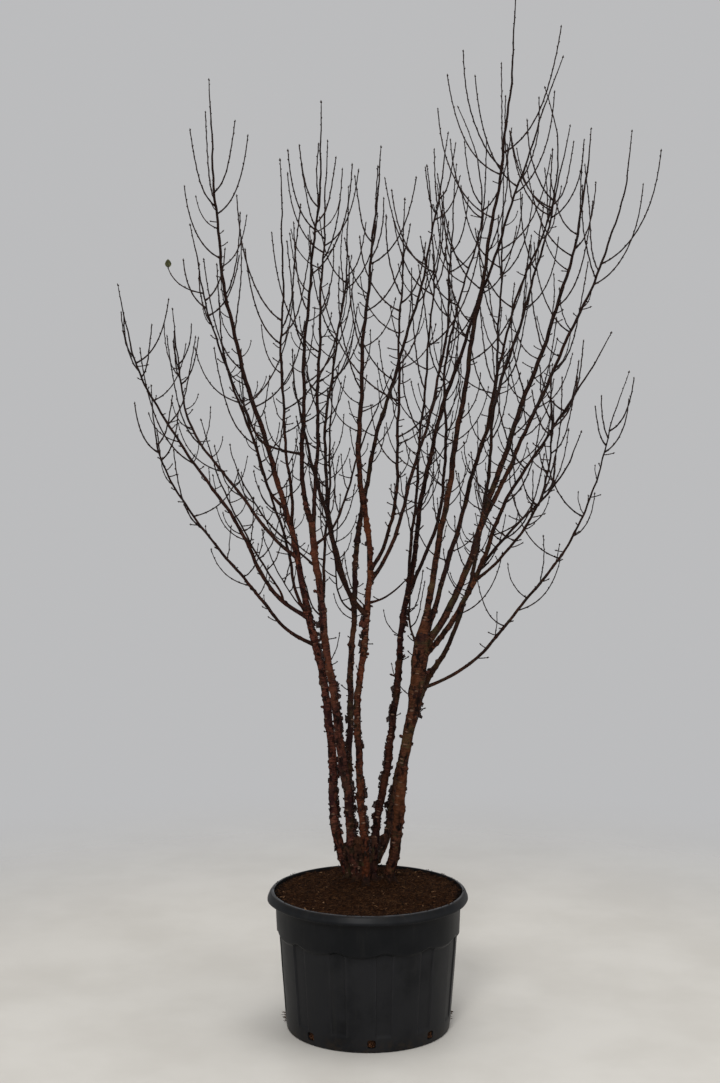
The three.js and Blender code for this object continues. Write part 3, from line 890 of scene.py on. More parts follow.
def bark_relief(places, radii, sides, seed, roughness, random):
    """Each ring's radii with broad swellings, cross ridges and knots."""
    radii = np.repeat(radii[:, None], sides, axis=1)
    flat = straightened(places, radii, sides, seed)[:-2].reshape(*radii.shape, 3)
    broad = grain(flat, (34, 34, 70), seed)
    middle = grain(flat, (13, 13, 17), seed + 1)
    ridges = grain(flat, (40, 40, 7), seed + 2)
    made = radii * (1 + 0.08 * broad) + roughness * (1.7 * middle + 0.6 * ridges)
    return made + knots(places, radii, sides, roughness, random)


def knots(places, radii, sides, roughness, random):
    """Low bumps where buds and twigs once stood, each with a collar across."""
    climb = lengths_along(places)
    turn = ring_turns(sides)
    bumps = np.zeros(radii.shape)
    for _ in range(int(climb[-1] * MM * KNOTS_PER_METRE)):
        at = random.uniform(0, climb[-1])
        around = random.uniform(0, FULL_TURN)
        size = random.uniform(*KNOT_SIZES) * min(1, radii[0, 0] / 16)
        rise = (climb - at) / size
        near = np.abs(rise) < 3
        rise = rise[near, None]
        off = (np.angle(np.exp(1j * (turn - around)))[None] * radii[near]) / size
        collar = 0.22 * np.exp(-(off / 2.6) ** 2 - (3.2 * rise) ** 2)
        bumps[near] += roughness * size * 0.5 * (np.exp(-off ** 2 - rise ** 2) + collar)
    return bumps


def even_shares(limb, start, end, step):
    """Shares of a limb's rise that lie evenly along it."""
    table = np.linspace(start, end, TABLE_STEPS)
    lengths = lengths_along(path_of(limb, table))
    count = max(4, int(lengths[-1] / step)) + 1
    return np.interp(np.linspace(0, lengths[-1], count), lengths, table)


def add_bark(pile, places, radii, sides, seed, youth):
    points, faces = tube(places, radii, sides)
    ages = np.concatenate([np.repeat(youth, sides), youth[:1], youth[-1:]])
    pile.add(points, faces, grain=straightened(places, radii, sides, seed) * MM, youth=ages)


def make_barked(kind, limb, places, radii, sides, roughness, youth, material, random):
    relief = bark_relief(places, radii, sides, limb.seed, roughness, random)
    pile = Pile()
    add_bark(pile, places, relief, sides, limb.seed, youth)
    pile.piece(f"bark_{kind}_{limb.name}", material, "bark", [f"{kind}_{limb.name}"])


def make_stem(stem, leader, material, random):
    """A stem that runs on a little way as the leader at its top."""
    shares = even_shares(stem, -14 / stem.rise, 1 - SUNK_IN_STEM / stem.rise, STEM_STEP)
    run_on = even_shares(leader, 0, STEM_RUN_ON / leader.rise, STEM_STEP)[1:]
    places = smoothed(np.concatenate([path_of(stem, shares), path_of(leader, run_on)]), 9)
    merging = np.linspace(0, 1, len(run_on)) ** 0.7
    ends = radius_of(stem, shares[-1]) * (1 - merging) + 0.94 * leader_radius(leader, run_on) * merging
    radii = np.concatenate([radius_of(stem, shares), ends])
    youth = 0.12 * np.concatenate([np.clip(shares, 0, 1), np.ones(len(run_on))])
    make_barked("stem", stem, places, radii, STEM_SIDES, 1.0, youth, material, random)


def carried_at(leader):
    """The share of its carrier's rise where a leader starts."""
    return (leader.start[2] - leader.carrier.start[2]) / leader.carrier.rise


def collared(leader, places, radii):
    """A side leader is thicker where it comes out of the limb that carries it."""
    outside = lengths_along(places) - radius_of(leader.carrier, carried_at(leader))
    return radii * (1 + COLLAR * np.exp(-np.maximum(0, outside) / COLLAR_REACH))


def make_bough(leader, material, random):
    shares = even_shares(leader, 0, leader.bare, BOUGH_STEP)
    places = path_of(leader, shares)
    radii = collared(leader, places, radius_of(leader, shares))
    oldest = np.interp(leader.girth, (15, 28), (0.78, 0.12))
    youth = oldest + (0.8 - oldest) * (shares / leader.bare) ** 1.5
    make_barked("bough", leader, places, radii, BOUGH_SIDES, 0.5, youth, material, random)


def add_leader_top(pile, leader, random):
    """A leader above its bough."""
    shares = even_shares(leader, max(0, leader.bare - 4 / leader.rise), 1, LEADER_STEP)
    places = path_of(leader, shares)
    radii = radius_of(leader, shares)
    if leader.bare == 0:
        radii = collared(leader, places, radii)
    relief = bark_relief(places, radii, LEADER_SIDES, leader.seed, 0.16, random)
    tip = np.clip((1 - shares) * leader.rise / 9, 0.35, 1)
    youth = np.clip(0.8 + 0.4 * (shares - leader.bare) / (1 - leader.bare), 0, 1)
    add_bark(pile, places, relief * tip[:, None], LEADER_SIDES, leader.seed, youth)


# Peeling bark and the stubs of cut twigs.

FLAKES_PER_METRE = {"a": 90, "b": 100, "c": 80, "d": 100, "e": 90, "f": 44, "g": 60}
FLAKE_FALL_OFF = 620
BOUGH_FLAKES = 12
BOUGH_FLAKE_FALL_OFF = 300
FLAKE_THICK = 0.8
FLAKE_ROWS = 6
FLAKE_COLUMNS = 8
STUB_SIDES = 14
STUB_ROUNDS = 13

# Where the bark peels most: stem, heights, turn of its middle and flakes there.
PEELING_ROWS = [
    ("a", 760, 1080, 0, 70), ("a", 700, 1100, 180, 16), ("a", 1480, 1710, 0, 34),
    ("b", 1080, 1450, 0, 60), ("b", 770, 1000, 0, 50), ("b", 1500, 1700, 180, 18),
    ("c", 720, 1000, 0, 36), ("c", 1150, 1350, 180, 16), ("d", 690, 1010, 0, 84),
    ("d", 1150, 1230, 0, 12), ("d", 1500, 1820, 180, 24), ("e", 780, 1400, 180, 110),
    ("e", 1500, 1800, 0, 20), ("f", 1280, 1340, 0, 10), ("f", 640, 760, 180, 8), ("g", 790, 960, 180, 34),
]

# Stubs: limb, height, turn, length and radius at the end.
STUB_ROWS = [
    ("d", 1668, 186, 19, 16), ("d", 1540, 20, 14, 7), ("f", 1452, -12, 20, 8), ("f", 1180, 160, 15, 7),
    ("e", 1430, 172, 26, 4), ("a", 1300, 200, 16, 6), ("b", 1210, -50, 18, 7), ("b", 1800, 175, 18, 7),
    ("c", 1350, 80, 16, 5), ("g", 1120, 35, 18, 5),
]


def add_flake(pile, limb, climb, turn, size, random):
    """A strip of bark that lies on the limb along one edge and curls off it."""
    share = climb / limb.rise
    below, place, above = path_of(limb, np.array((share - 0.002, share, share + 0.002)))
    run = unit(above - below)
    outward = polar(turn)
    outward = unit(outward - (outward @ run) * run)
    radius = float(radius_of(limb, share))
    hand = random.choice((-1, 1))
    round_way = hand * np.cross(run, outward)
    height = size * random.uniform(6, 26)
    width = size * random.uniform(8, 19)
    u = np.linspace(0, 1, FLAKE_COLUMNS)
    v = np.linspace(-0.5, 0.5, FLAKE_ROWS)[:, None]
    bent = random.uniform(0.7, 3.4) * u ** 1.3
    turned = (np.cumsum(np.cos(bent)) - 1) * width / FLAKE_COLUMNS
    lifted = np.cumsum(np.sin(bent)) * width / FLAKE_COLUMNS
    ragged = 1 - random.uniform(0.1, 0.6) * u - 0.2 * random.random(FLAKE_COLUMNS)
    lean = random.uniform(-0.5, 0.5) * height * u
    rise = v * height * ragged + lean + random.normal(0, 0.035 * height, (FLAKE_ROWS, FLAKE_COLUMNS))
    twist = random.uniform(-0.35, 0.35) * v * u
    front = (
        place + outward * (radius - 1.4)
        + (turned + twist * width)[..., None] * round_way
        + (lifted * (1 + twist) - 0.1 * turned ** 2 / radius)[..., None] * outward
        + rise[..., None] * run
    )
    under = np.sin(bent)[None, :, None] * round_way - np.cos(bent)[None, :, None] * outward
    points = np.concatenate([front, front + FLAKE_THICK * under]).reshape(-1, 3)
    faces = sheet_faces(FLAKE_ROWS, FLAKE_COLUMNS)
    pile.add(points, faces[:, ::-1] if hand > 0 else faces, grain=points * MM)


def add_flakes(pile, limb, count, lowest, highest, fall_off, random):
    """Flakes all over a limb between two lengths, fewer the higher they are."""
    for _ in range(count):
        climb = lowest + min(random.exponential(fall_off), highest - lowest - 1)
        size = random.uniform(0.4, 1.0)
        add_flake(pile, limb, climb, random.uniform(0, FULL_TURN), size, random)


def make_flakes(material, random):
    for stem in STEMS:
        pile = Pile()
        count = int(FLAKES_PER_METRE[stem.name] * stem.rise * MM)
        add_flakes(pile, stem, count, 30, stem.rise, FLAKE_FALL_OFF, random)
        for leader in LEADERS:
            if leader.name[0] == stem.name and leader.girth > 19:
                highest = leader.rise * leader.bare
                add_flakes(pile, leader, BOUGH_FLAKES, 40, highest, BOUGH_FLAKE_FALL_OFF, random)
        for name, low, high, degrees, count in PEELING_ROWS:
            for height in random.uniform(low, high, count if name == stem.name else 0):
                turn = math.radians(random.normal(degrees, 22))
                size = min(1.7, random.lognormal(0.0, 0.35))
                add_flake(pile, stem, height - stem.start[2], turn, size, random)
        pile.piece(f"peeling_bark_{stem.name}", material, "bark")


def make_stubs(material, random):
    pile = Pile()
    steps = np.linspace(0, 1, STUB_ROUNDS)
    rounded = np.sqrt(np.clip(1 - ((steps - 0.72) / 0.28).clip(0) ** 2, 0.03, 1))
    for name, height, degrees, length, radius in STUB_ROWS:
        limb = LIMBS[name]
        share = (height - limb.start[2]) / limb.rise
        reach = float(radius_of(limb, share)) + length
        outward = unit(polar(math.radians(degrees)) + 0.35 * UP)
        places = path_of(limb, share) + steps[:, None] * reach * outward
        radii = radius * (0.9 + 0.35 * (1 - steps) + 0.15 * np.sin(9 * steps)) * rounded
        relief = bark_relief(places, radii, STUB_SIDES, height, 0.7, random)
        add_bark(pile, places, relief, STUB_SIDES, 3.3, np.full(STUB_ROUNDS, 0.1))
    pile.piece("cut_stubs", material, "bark")


# Where limbs grow together: the pairs of stems that do at the soil, and how high
# above it.
CROWN_JOINS = [
    ("a", "b", 150), ("b", "d", 200), ("d", "e", 196), ("e", "g", 190), ("g", "f", 22), ("e", "f", 0),
    ("c", "b", 190), ("c", "a", 150), ("c", "g", 80), ("c", "d", 190), ("d", "f", 0), ("c", "e", 120),
]
CROWN_HEIGHT = 240

# Roots that show where they leave the crown: stem, turn and reach.
ROOT_ROWS = [
    ("a", 200, 44), ("a", 245, 34), ("b", 235, 46), ("b", 275, 30), ("d", 250, 50), ("d", 285, 42),
    ("e", 262, 34), ("e", 310, 44), ("f", 285, 40), ("f", 335, 52), ("f", 20, 40), ("g", 70, 40),
    ("c", 110, 40),
]
CROWN_VOXEL = 3.2
FORK_VOXEL = 2.6
FORK_GIRTH = 12
FORK_SWELL = {"f": 0.2}
JOIN_STEPS = np.linspace(0, 1, 9)


def make_fused(name, pile, voxel, softening, material):
    """Closed shapes grown together into one, with the relief of old bark."""
    made = put_in_scene(name, pile.mesh(name))
    fuse = made.modifiers.new("fuse", "REMESH")
    fuse.mode = "VOXEL"
    fuse.voxel_size = voxel * MM
    soften = made.modifiers.new("soften", "SMOOTH")
    soften.iterations = softening
    apply_modifiers(made)
    roughen(made.data)
    declare(made, material)


def roughen(mesh):
    """Gives a fused shape the relief and grain of old bark."""
    places = np.zeros(len(mesh.vertices) * 3, np.float32)
    normals = places.copy()
    mesh.vertices.foreach_get("co", places)
    mesh.vertex_normals.foreach_get("vector", normals)
    spots = places.reshape(-1, 3) / MM
    coarse = grain(spots, (20, 20, 34), 5)
    ridges = grain(spots, (7.5, 7.5, 46), 7)
    fine = grain(spots, (9, 9, 6), 6)
    rise = (1.4 * coarse + 1.9 * ridges + 0.8 * fine) * MM
    moved = places + normals * np.repeat(rise, 3)
    mesh.vertices.foreach_set("co", moved.astype(np.float32))
    mesh.attributes.new("grain", "FLOAT_VECTOR", "POINT").data.foreach_set("vector", places)
    mesh.attributes.new("youth", "FLOAT", "POINT")
    mesh.polygons.foreach_set("use_smooth", np.ones(len(mesh.polygons), bool))
    mesh.update()


def add_stretch(pile, limb, shares, swelling, sides):
    pile.add(*tube(path_of(limb, shares), radius_of(limb, shares) * swelling, sides))


def make_root_crown(material):
    pile = Pile()
    climb = np.linspace(-22, CROWN_HEIGHT, 22)
    for stem in STEMS:
        add_stretch(pile, stem, climb / stem.rise, 0.93 + 0.2 * np.exp(-np.maximum(0, climb + 10) / 50), 20)
    steps = JOIN_STEPS[:, None]
    for one, other, height in CROWN_JOINS:
        for level in np.arange(-16, height + 1, 13):
            start, end = (path_of(LIMBS[name], level / LIMBS[name].rise) for name in (one, other))
            radii = (19 - 6 * max(0, level) / (height + 30)) * (1 - 0.3 * np.sin(np.pi * JOIN_STEPS))
            pile.add(*tube(start * (1 - steps) + end * steps, radii, 12, reference=UP))
    for name, degrees, reach in ROOT_ROWS:
        run = (12 + reach * steps) * polar(math.radians(degrees)) + (34 - 52 * steps ** 0.75) * UP
        pile.add(*tube(path_of(LIMBS[name], 0.0) + run, 12.5 - 5 * JOIN_STEPS, 12, reference=UP))
    make_fused("root_crown", pile, CROWN_VOXEL, 6, material)


def make_forks(stem, material):
    """Where limbs part they are grown together for a little way."""
    pile = Pile()
    table = np.linspace(0, 1, TABLE_STEPS)
    for leader in LEADERS:
        if leader.name[0] != stem.name or leader.girth < FORK_GIRTH:
            continue
        carrier = leader.carrier
        reach = float(radius_of(carrier, carried_at(leader))) + 1.5 * leader.girth
        shares = np.interp(reach * JOIN_STEPS, lengths_along(path_of(leader, table)), table)
        add_stretch(pile, leader, shares, 1.35 - 0.42 * JOIN_STEPS, 16)
        at = leader.start[2] - carrier.start[2]
        climb = np.linspace(at - 2.2 * leader.girth, min(at + 2 * leader.girth, carrier.rise - 1), 11)
        swelling = 0.92 + FORK_SWELL.get(carrier.name, 0.13) * np.sin(np.linspace(0, np.pi, 11))
        add_stretch(pile, carrier, climb / carrier.rise, swelling, 20)
    make_fused(f"forks_{stem.name}", pile, FORK_VOXEL, 4, material)


# Twigs and buds.

class Buds:
    """Buds to be made: each one's place, way and size."""

    def __init__(self):
        self.places = []
        self.ways = []
        self.sizes = []

    def add(self, place, way, length=1.0, width=1.0):
        """Adds a bud whose length and width are given as shares of the usual."""
        self.places.append(place)
        self.ways.append(way)
        self.sizes.append((width * BUD_WIDTH, width * BUD_WIDTH, length * BUD_LENGTH))

    def add_bunch(self, place, run, size, random):
        """The bunch of buds at the end of a shoot or spur."""
        self.add(place - 1.5 * run, run + random.normal(0, 0.08, 3), 1.25 * size, 1.2 * size)
        first = random.uniform(0, FULL_TURN)
        side, other = across(run)
        for i in range(3):
            out = math.cos(first + 2.2 * i) * side + math.sin(first + 2.2 * i) * other
            self.add(place - run * (2.5 + 1.5 * i) + 0.8 * out, run + 0.55 * out, size, size)

    def piece(self, name, material):
        """One mesh of all the buds, pointed and a little fuller below the middle."""
        turn = ring_turns(TWIG_SIDES)
        ring = np.stack([np.cos(turn), np.sin(turn), 0 * turn], 1) / 2
        rings = [(0.62, -0.04), (1.0, 0.34), (0.6, 0.76)]
        shape = [ring * wide + high * UP for wide, high in rings]
        shape = np.concatenate([*shape, [(0, 0, -0.04), (0, 0, 1)]])
        faces = wrapped_grid(len(rings), TWIG_SIDES)
        ways = unit(np.array(self.ways))
        axes = np.stack([*across(ways), ways], axis=1)
        made = copies(shape, faces, np.array(self.sizes), axes, np.array(self.places))
        declare(put_in_scene(name, make_mesh(name, *made)), material)


def across(ways):
    """Two ways square to each way and to each other."""
    side = unit(np.cross(ways, np.array((0.31, 0.95, 0.1))))
    return side, np.cross(ways, side)


def node_lengths(length, random):
    """How far along a shoot its buds stand, closer together near its tip."""
    stops = []
    at = random.uniform(0.3, 0.8) * NODE_SPACING[0]
    while at < length - 9:
        stops.append(at)
        at += random.uniform(*NODE_SPACING) * (1 - 0.35 * at / length)
    return np.array(stops)


def add_shoot(pile, buds, shoot, random):
    """A smooth shoot that swells and turns a little at each of its buds."""
    table = np.linspace(0, 1, 49)
    lengths = lengths_along(shoot.places(table))
    length = lengths[-1]
    nodes = node_lengths(length, random)
    by_nodes = [nodes - 5, nodes, nodes + 5]
    steps = np.concatenate([np.arange(0, length - 4, 13), *by_nodes, [length - 1.5, length]])
    steps = np.unique(np.clip(steps, 0, length).round(1))
    shares = np.interp(steps, lengths, table)
    places = shoot.places(shares)
    radii = TWIG_GIRTH * shoot.girth * (1 - TWIG_TAPER * shares) / 2 * (1 + 0.5 * np.exp(-steps / 6))
    run = unit(np.gradient(places, axis=0))
    side = shoot.side()
    other = np.cross(run, side)
    first = random.uniform(0, 360)
    kinks = np.zeros(len(steps))
    for i, node in enumerate(nodes):
        radii = radii * (1 + NODE_SWELL * np.exp(-((steps - node) / 6) ** 2))
        kinks += (1 if i % 2 else -1) * 0.9 * np.exp(-((steps - node) / 13) ** 2)
    places = places + kinks[:, None] * side
    pile.add(*tube(places, radii, TWIG_SIDES, reference=side))
    small = 0.75 + 0.25 * min(1, length / 260)
    for i, node in enumerate(nodes):
        at = int(np.argmin(np.abs(steps - node)))
        turn = math.radians(first + BUD_TURN * i)
        out = math.cos(turn) * side + math.sin(turn) * other[at]
        size = small * random.uniform(0.8, 1.1)
        buds.add(places[at] + out * radii[at] * 0.75, run[at] + 0.5 * out, size, size)
    buds.add_bunch(places[-1], run[-1], small * random.uniform(0.9, 1.15), random)


def add_spur(pile, buds, limb, share, turn, random):
    """A short stout spur with ring scars and a bunch of buds on its end."""
    length = random.uniform(*SPUR_LENGTH)
    tilt = random.uniform(0.05, 0.7)
    out = polar(turn)
    steps = np.linspace(0, 1, 4 + int(length / 7))
    reach = radius_of(limb, share) * 0.6 + length * steps
    places = path_of(limb, share) + reach[:, None] * out + (length * tilt * steps ** 1.6)[:, None] * UP
    scars = 1 + 0.14 * np.cos(np.arange(len(steps)) * np.pi)
    radii = SPUR_GIRTH / 2 * scars * (1.1 - 0.25 * steps)
    pile.add(*tube(places, radii, TWIG_SIDES, reference=np.cross(UP, out)))
    buds.add_bunch(places[-1], unit(np.gradient(places, axis=0))[-1], random.uniform(0.8, 1.05), random)


def grow_spurs(pile, buds, limb, lowest, highest, spacing, random):
    climb = lowest
    while climb < highest:
        add_spur(pile, buds, limb, climb / limb.rise, random.uniform(0, FULL_TURN), random)
        climb += random.uniform(*spacing)


def add_leader_buds(buds, leader, random):
    """Buds on the last year's growth at the top of a leader, and at its tip."""
    top_shoot = top_shoot_of(leader)
    shares = (leader.rise - top_shoot + node_lengths(top_shoot, random)) / leader.rise
    tip = path_of(leader, 1.0)
    run = unit(tip - path_of(leader, 0.96))
    first = random.uniform(0, 360)
    for i, (place, radius) in enumerate(zip(path_of(leader, shares), leader_radius(leader, shares))):
        out = polar(math.radians(first + BUD_TURN * i))
        buds.add(place + out * radius * 0.8, run + 0.45 * out)
    buds.add_bunch(tip, run, 1.15, random)


def fine_shoots(limb, lowest, highest, spacing, random):
    """Thin shoots between two lengths of a limb, between those of the solids."""
    climb = lowest + random.uniform(*spacing)
    turn = random.uniform(0, 360)
    while climb < highest:
        share = climb / limb.rise
        rise = min(random.uniform(*FINE_RISE), 0.8 * (limb.rise - climb) + 30)
        reach = min(rise * random.uniform(*FINE_REACH), 190)
        turn += GOLDEN_TURN + random.uniform(-20, 20)
        girth = FINE_GIRTH * (0.72 + 0.28 * min(1, rise / 200))
        bend = random.uniform(-0.03, 0.03) * rise
        yield Shoot(along(limb, share), rise, reach, math.radians(turn), girth, stray_of(limb, share), bend)
        sparser = 1 + FINE_THINNING * max(0, share - FINE_THINNING_FROM)
        if limb.name in SPARSE_LEADERS and share > FINE_THINNING_FROM:
            sparser *= SPARSE
        climb += random.uniform(*spacing) * sparser


def plan_all_shoots():
    """The solids' shoots and then the finer ones, by the limb that carries them."""
    thicket = plan_thicket()
    random = np.random.default_rng(FINE_SEED)
    shoots = {name: [] for name in LIMBS}
    for i, leader in enumerate(LEADERS):
        for shoot in plan_shoots(leader, FIRST_SEED + SEED_STEP * i):
            if place_shoot(shoot, thicket, [f"twigs_{leader.name}"], SHOOT_CLEAR, SHOOT_TRIES):
                shoot.bend = random.uniform(-0.025, 0.025) * shoot.rise
                shoots[leader.name].append(shoot)
    thicket = plan_thicket()
    for leader in LEADERS + THIN_LIMBS:
        own = [f"twigs_{leader.name}", f"bough_{leader.name}"]
        highest = leader.rise - top_shoot_of(leader) - 10
        for shoot in fine_shoots(leader, 0.12 * leader.rise, highest, FINE_SPACING, random):
            if within_reach(shoot) and place_shoot(shoot, thicket, own, FINE_CLEAR, FINE_TRIES):
                shoots[leader.name].append(shoot)
    for stem in STEMS:
        for shoot in fine_shoots(stem, 0.62 * stem.rise, stem.rise, STEM_FINE_SPACING, random):
            if place_shoot(shoot, thicket, [f"stem_{stem.name}"], FINE_CLEAR, FINE_TRIES):
                shoots[stem.name].append(shoot)
    return shoots


def make_twigs(bark, wood, scales):
    """The masses' twigs, one group for each stem and each kind apart."""
    random = np.random.default_rng(FINE_SEED + 1)
    shoots = plan_all_shoots()
    for stem in STEMS:
        leaders = [leader for leader in LEADERS + THIN_LIMBS if leader.name[0] == stem.name]
        tops, twigs, buds = Pile(), Pile(), Buds()
        for leader in leaders:
            add_leader_top(tops, leader, random)
            add_leader_buds(buds, leader, random)
            highest = leader.rise - top_shoot_of(leader)
            sparser = SPARSE if leader in THIN_LIMBS or leader.name in SPARSE_LEADERS else 1
            spacing = [sparser * step for step in SPUR_SPACING]
            grow_spurs(twigs, buds, leader, 0.1 * leader.rise, highest, spacing, random)
        grow_spurs(twigs, buds, stem, 0.55 * stem.rise, 0.98 * stem.rise, STEM_SPUR_SPACING, random)
        for limb in [stem, *leaders]:
            for shoot in shoots[limb.name]:
                add_shoot(twigs, buds, shoot, random)
        if stem.name == "a":
            add_leaf_shoot(twigs, buds, random)
        replaced = [f"twigs_{leader.name}" for leader in leaders if leader in LEADERS]
        tops.piece(f"leaders_{stem.name}", bark[stem.name], "twig", replaced)
        twigs.piece(f"twigs_of_{stem.name}", wood, "twig")
        buds.piece(f"buds_of_{stem.name}", scales)


# The one leaf that is left.
LEAF_CARRIER = "a2"
LEAF_FOOT = np.array((-803, -340, 3149))
LEAF_SHOOT_HEIGHT = 3045
LEAF_LENGTH = 34
LEAF_WIDTH = 25
LEAF_THICK = 0.35
LEAF_ROWS = 13
LEAF_COLUMNS = 7


def add_leaf_shoot(pile, buds, random):
    """The curved twig that carries the leaf."""
    leader = LIMBS[LEAF_CARRIER]
    start = path_of(leader, (LEAF_SHOOT_HEIGHT - leader.start[2]) / leader.rise)
    x, y, rise = LEAF_FOOT - start
    add_shoot(pile, buds, Shoot(start, rise, math.hypot(x, y), math.atan2(y, x), FINE_GIRTH), random)


def make_leaf(material):
    """A small oval leaf, folded along its rib and cupped."""
    v = np.linspace(0, 1, LEAF_ROWS)[:, None]
    u = np.linspace(-1, 1, LEAF_COLUMNS)[None]
    half = LEAF_WIDTH / 2 * np.sin(np.pi * v ** 0.85) ** 0.8 + 0.3
    teeth = 1 + 0.05 * np.cos(np.arange(LEAF_ROWS) * np.pi)[:, None]
    fold = 3.5 * np.abs(u) ** 1.2 * np.sin(np.pi * v) - 4 * v ** 2
    front = np.stack(np.broadcast_arrays(u * (half * teeth), fold, LEAF_LENGTH * v), -1)
    points = np.concatenate([front, front + np.array((0, LEAF_THICK, 0))]).reshape(-1, 3) + LEAF_FOOT
    leaf = make_mesh("last_leaf", points, sheet_faces(LEAF_ROWS, LEAF_COLUMNS))
    declare(put_in_scene("last_leaf", leaf), material)


# The pot.

def panel_columns():
    """Turns of the pot's columns, crowded at the edges of its panels."""
    edge = PANEL_HALF_TURN
    near = np.array((-2.2, -1.1, -0.55, 0, 0.55, 1.1, 2.2)) * PANEL_EDGE_TURN
    flat = np.linspace(-edge + 2.5, edge - 2.5, 9)
    groove = np.linspace(edge + 2, PANEL_PITCH - edge - 2, 4)
    one = np.concatenate([flat, edge + near, groove, PANEL_PITCH - edge + near])
    firsts = PANEL_TURN + np.arange(0, 360, PANEL_PITCH)
    return np.sort((firsts[:, None] + one).ravel() % 360)


def from_panel(turn):
    return np.abs(turn - PANEL_TURN - PANEL_PITCH * np.round((turn - PANEL_TURN) / PANEL_PITCH))


def slanted(low, high, height):
    """The radius of a straight slant through two corners."""
    return low[0] + (high[0] - low[0]) / (high[1] - low[1]) * (height - low[1])


def wall_radius(turn, height):
    """The outside of the pot below its lip: panels, grooves and scalloped band."""
    groove = step_up(PANEL_HALF_TURN - PANEL_EDGE_TURN, PANEL_HALF_TURN + PANEL_EDGE_TURN, from_panel(turn))
    run_out = step_up(PANEL_FOOT[1] - 6, PANEL_FOOT[1] + PANEL_RUN_OUT, height)
    foot = slanted((FOOT_RADIUS, FOOT_ROUNDING), PANEL_FOOT, height)
    below = np.where(height < PANEL_FOOT[1], foot, slanted(PANEL_FOOT, PANEL_TOP, height))
    panel = below - PANEL_DEPTH * groove * run_out
    scallop = SCALLOP_LOW + SCALLOP_RISE * (from_panel(turn) / (PANEL_PITCH / 2)) ** 2
    on_band = step_up(scallop - SCALLOP_STEP, scallop + SCALLOP_STEP, height)
    return panel + (slanted(BAND_FOOT, BAND_TOP, height) - panel) * on_band


def dents(x, y, z):
    """Soft unevenness of a thin moulded wall, fading to nothing at the foot."""
    places = np.stack([x, y, z], -1)
    soft = grain(places, (120, 120, 190), 3) + 0.5 * grain(places, (45, 45, 120), 4)
    return DENT_DEPTH * soft * np.clip((z - 20) / 150, 0, 1)


def inner_radius(height):
    corners = [
        (FOOT_RADIUS - POT_WALL - PANEL_DEPTH, 0),
        (PANEL_TOP[0] - POT_WALL - PANEL_DEPTH, PANEL_TOP[1]),
        (BAND_TOP[0] - POT_WALL, BAND_TOP[1]),
        (RIM_RADIUS, POT_HEIGHT),
    ]
    radii, heights = zip(*corners)
    return np.interp(height, heights, radii)


def lip_profile():
    """The outline from the band over the rolled lip, its corners rounded."""
    corners = np.array(LIP_CORNERS, float)
    rows = [corners[0]]
    steps = np.linspace(0, 1, 5)[:, None]
    for before, corner, after, size in zip(corners, corners[1:], corners[2:], LIP_ROUNDINGS):
        come = corner + size * unit(before - corner)
        leave = corner + size * unit(after - corner)
        rows += list((1 - steps) ** 2 * come + 2 * steps * (1 - steps) * corner + steps ** 2 * leave)
    return np.array([*rows, corners[-1]])


def rows_at(radii, heights):
    return np.stack(np.broadcast_arrays(radii, heights), 1)


def pot_rows():
    """Every row of the pot from the middle of its underside to that of its floor,
    as a radius and height, where a radius of 0 asks for the wall's own."""
    rounding = np.radians(np.linspace(0, 90, 6))
    foot = FOOT_RADIUS - FOOT_ROUNDING * (1 - np.sin(rounding))
    heights = np.concatenate([
        np.linspace(16, 56, 8), np.linspace(60, 78, 9), np.linspace(90, 380, 24),
        np.linspace(385, 424, 27), np.linspace(430, 482, 8),
    ])
    inner = np.array((550, 540, 530, 512, 482, 430, 378, 300, 200, 100, 62, 50, 38, 26, 14, FLOOR_THICK))
    return np.concatenate([
        rows_at((60, 160, 250, 310), 0),
        rows_at(foot, FOOT_ROUNDING * (1 - np.cos(rounding))),
        rows_at(0, heights),
        lip_profile(),
        rows_at(inner_radius(inner), inner),
        rows_at((300, 200, 80), FLOOR_THICK),
    ])


def make_pot(material):
    turns = panel_columns()
    rows = pot_rows()
    on_wall = rows[:, :1] == 0
    turn, height = np.broadcast_arrays(turns[None], rows[:, 1:])
    radius = np.where(on_wall, wall_radius(turn, height), rows[:, :1])
    x, y = np.sin(np.radians(turn)), -np.cos(np.radians(turn))
    on_lip = (height > LIP_UNDERSIDE[1]) & (radius > LIP_UNDERSIDE[0] + 12)
    bulge = LIP_BULGE_DEPTH * np.exp(-((turn - LIP_BULGE_TURN) / LIP_BULGE_WIDTH) ** 2)
    radius = radius + np.where(on_lip, bulge, 0)
    outside = on_wall | (height > SOIL_LEVEL - 85)
    radius = radius + np.where(outside, dents(radius * x, radius * y, height), 0)
    points = np.stack([radius * x, radius * y, height], -1).reshape(-1, 3)
    points = np.concatenate([points, [(0, 0, 0), (0, 0, FLOOR_THICK)]])
    near_edge = np.exp(-((from_panel(turn) - PANEL_HALF_TURN + PANEL_EDGE_TURN) / 0.5) ** 2)
    on_panels = on_wall & (height > PANEL_FOOT[1]) & (height < PANEL_TOP[1] + 20)
    # Painted highlights along the panels' edges and on the lip, and soil at the foot and at the rim.
    carried = {
        "worn": np.where(on_panels, near_edge, 0),
        "faded": step_up(565.5, 567.5, height) + 0.04 * np.exp(-((height - 545) / 8) ** 2) * (radius > 405),
        "soiled": np.clip(1 - height / 70, 0, 1) + step_up(555, 566, height) * 0.5,
    }
    carried = {key: np.append(values.ravel(), (0, 0)) for key, values in carried.items()}
    faces = wrapped_grid(len(rows), len(turns))
    pot = put_in_scene("moulded_pot", make_mesh("moulded_pot", points, faces, True, carried))
    drills = put_in_scene("drills", drill_mesh())
    cut = pot.modifiers.new("holes", "BOOLEAN")
    cut.operation = "DIFFERENCE"
    cut.solver = "MANIFOLD"
    cut.object = drills
    apply_modifiers(pot)
    bpy.data.objects.remove(drills)
    pot.data.set_sharp_from_angle(angle=math.radians(38))
    declare(pot, material, ["pot"])


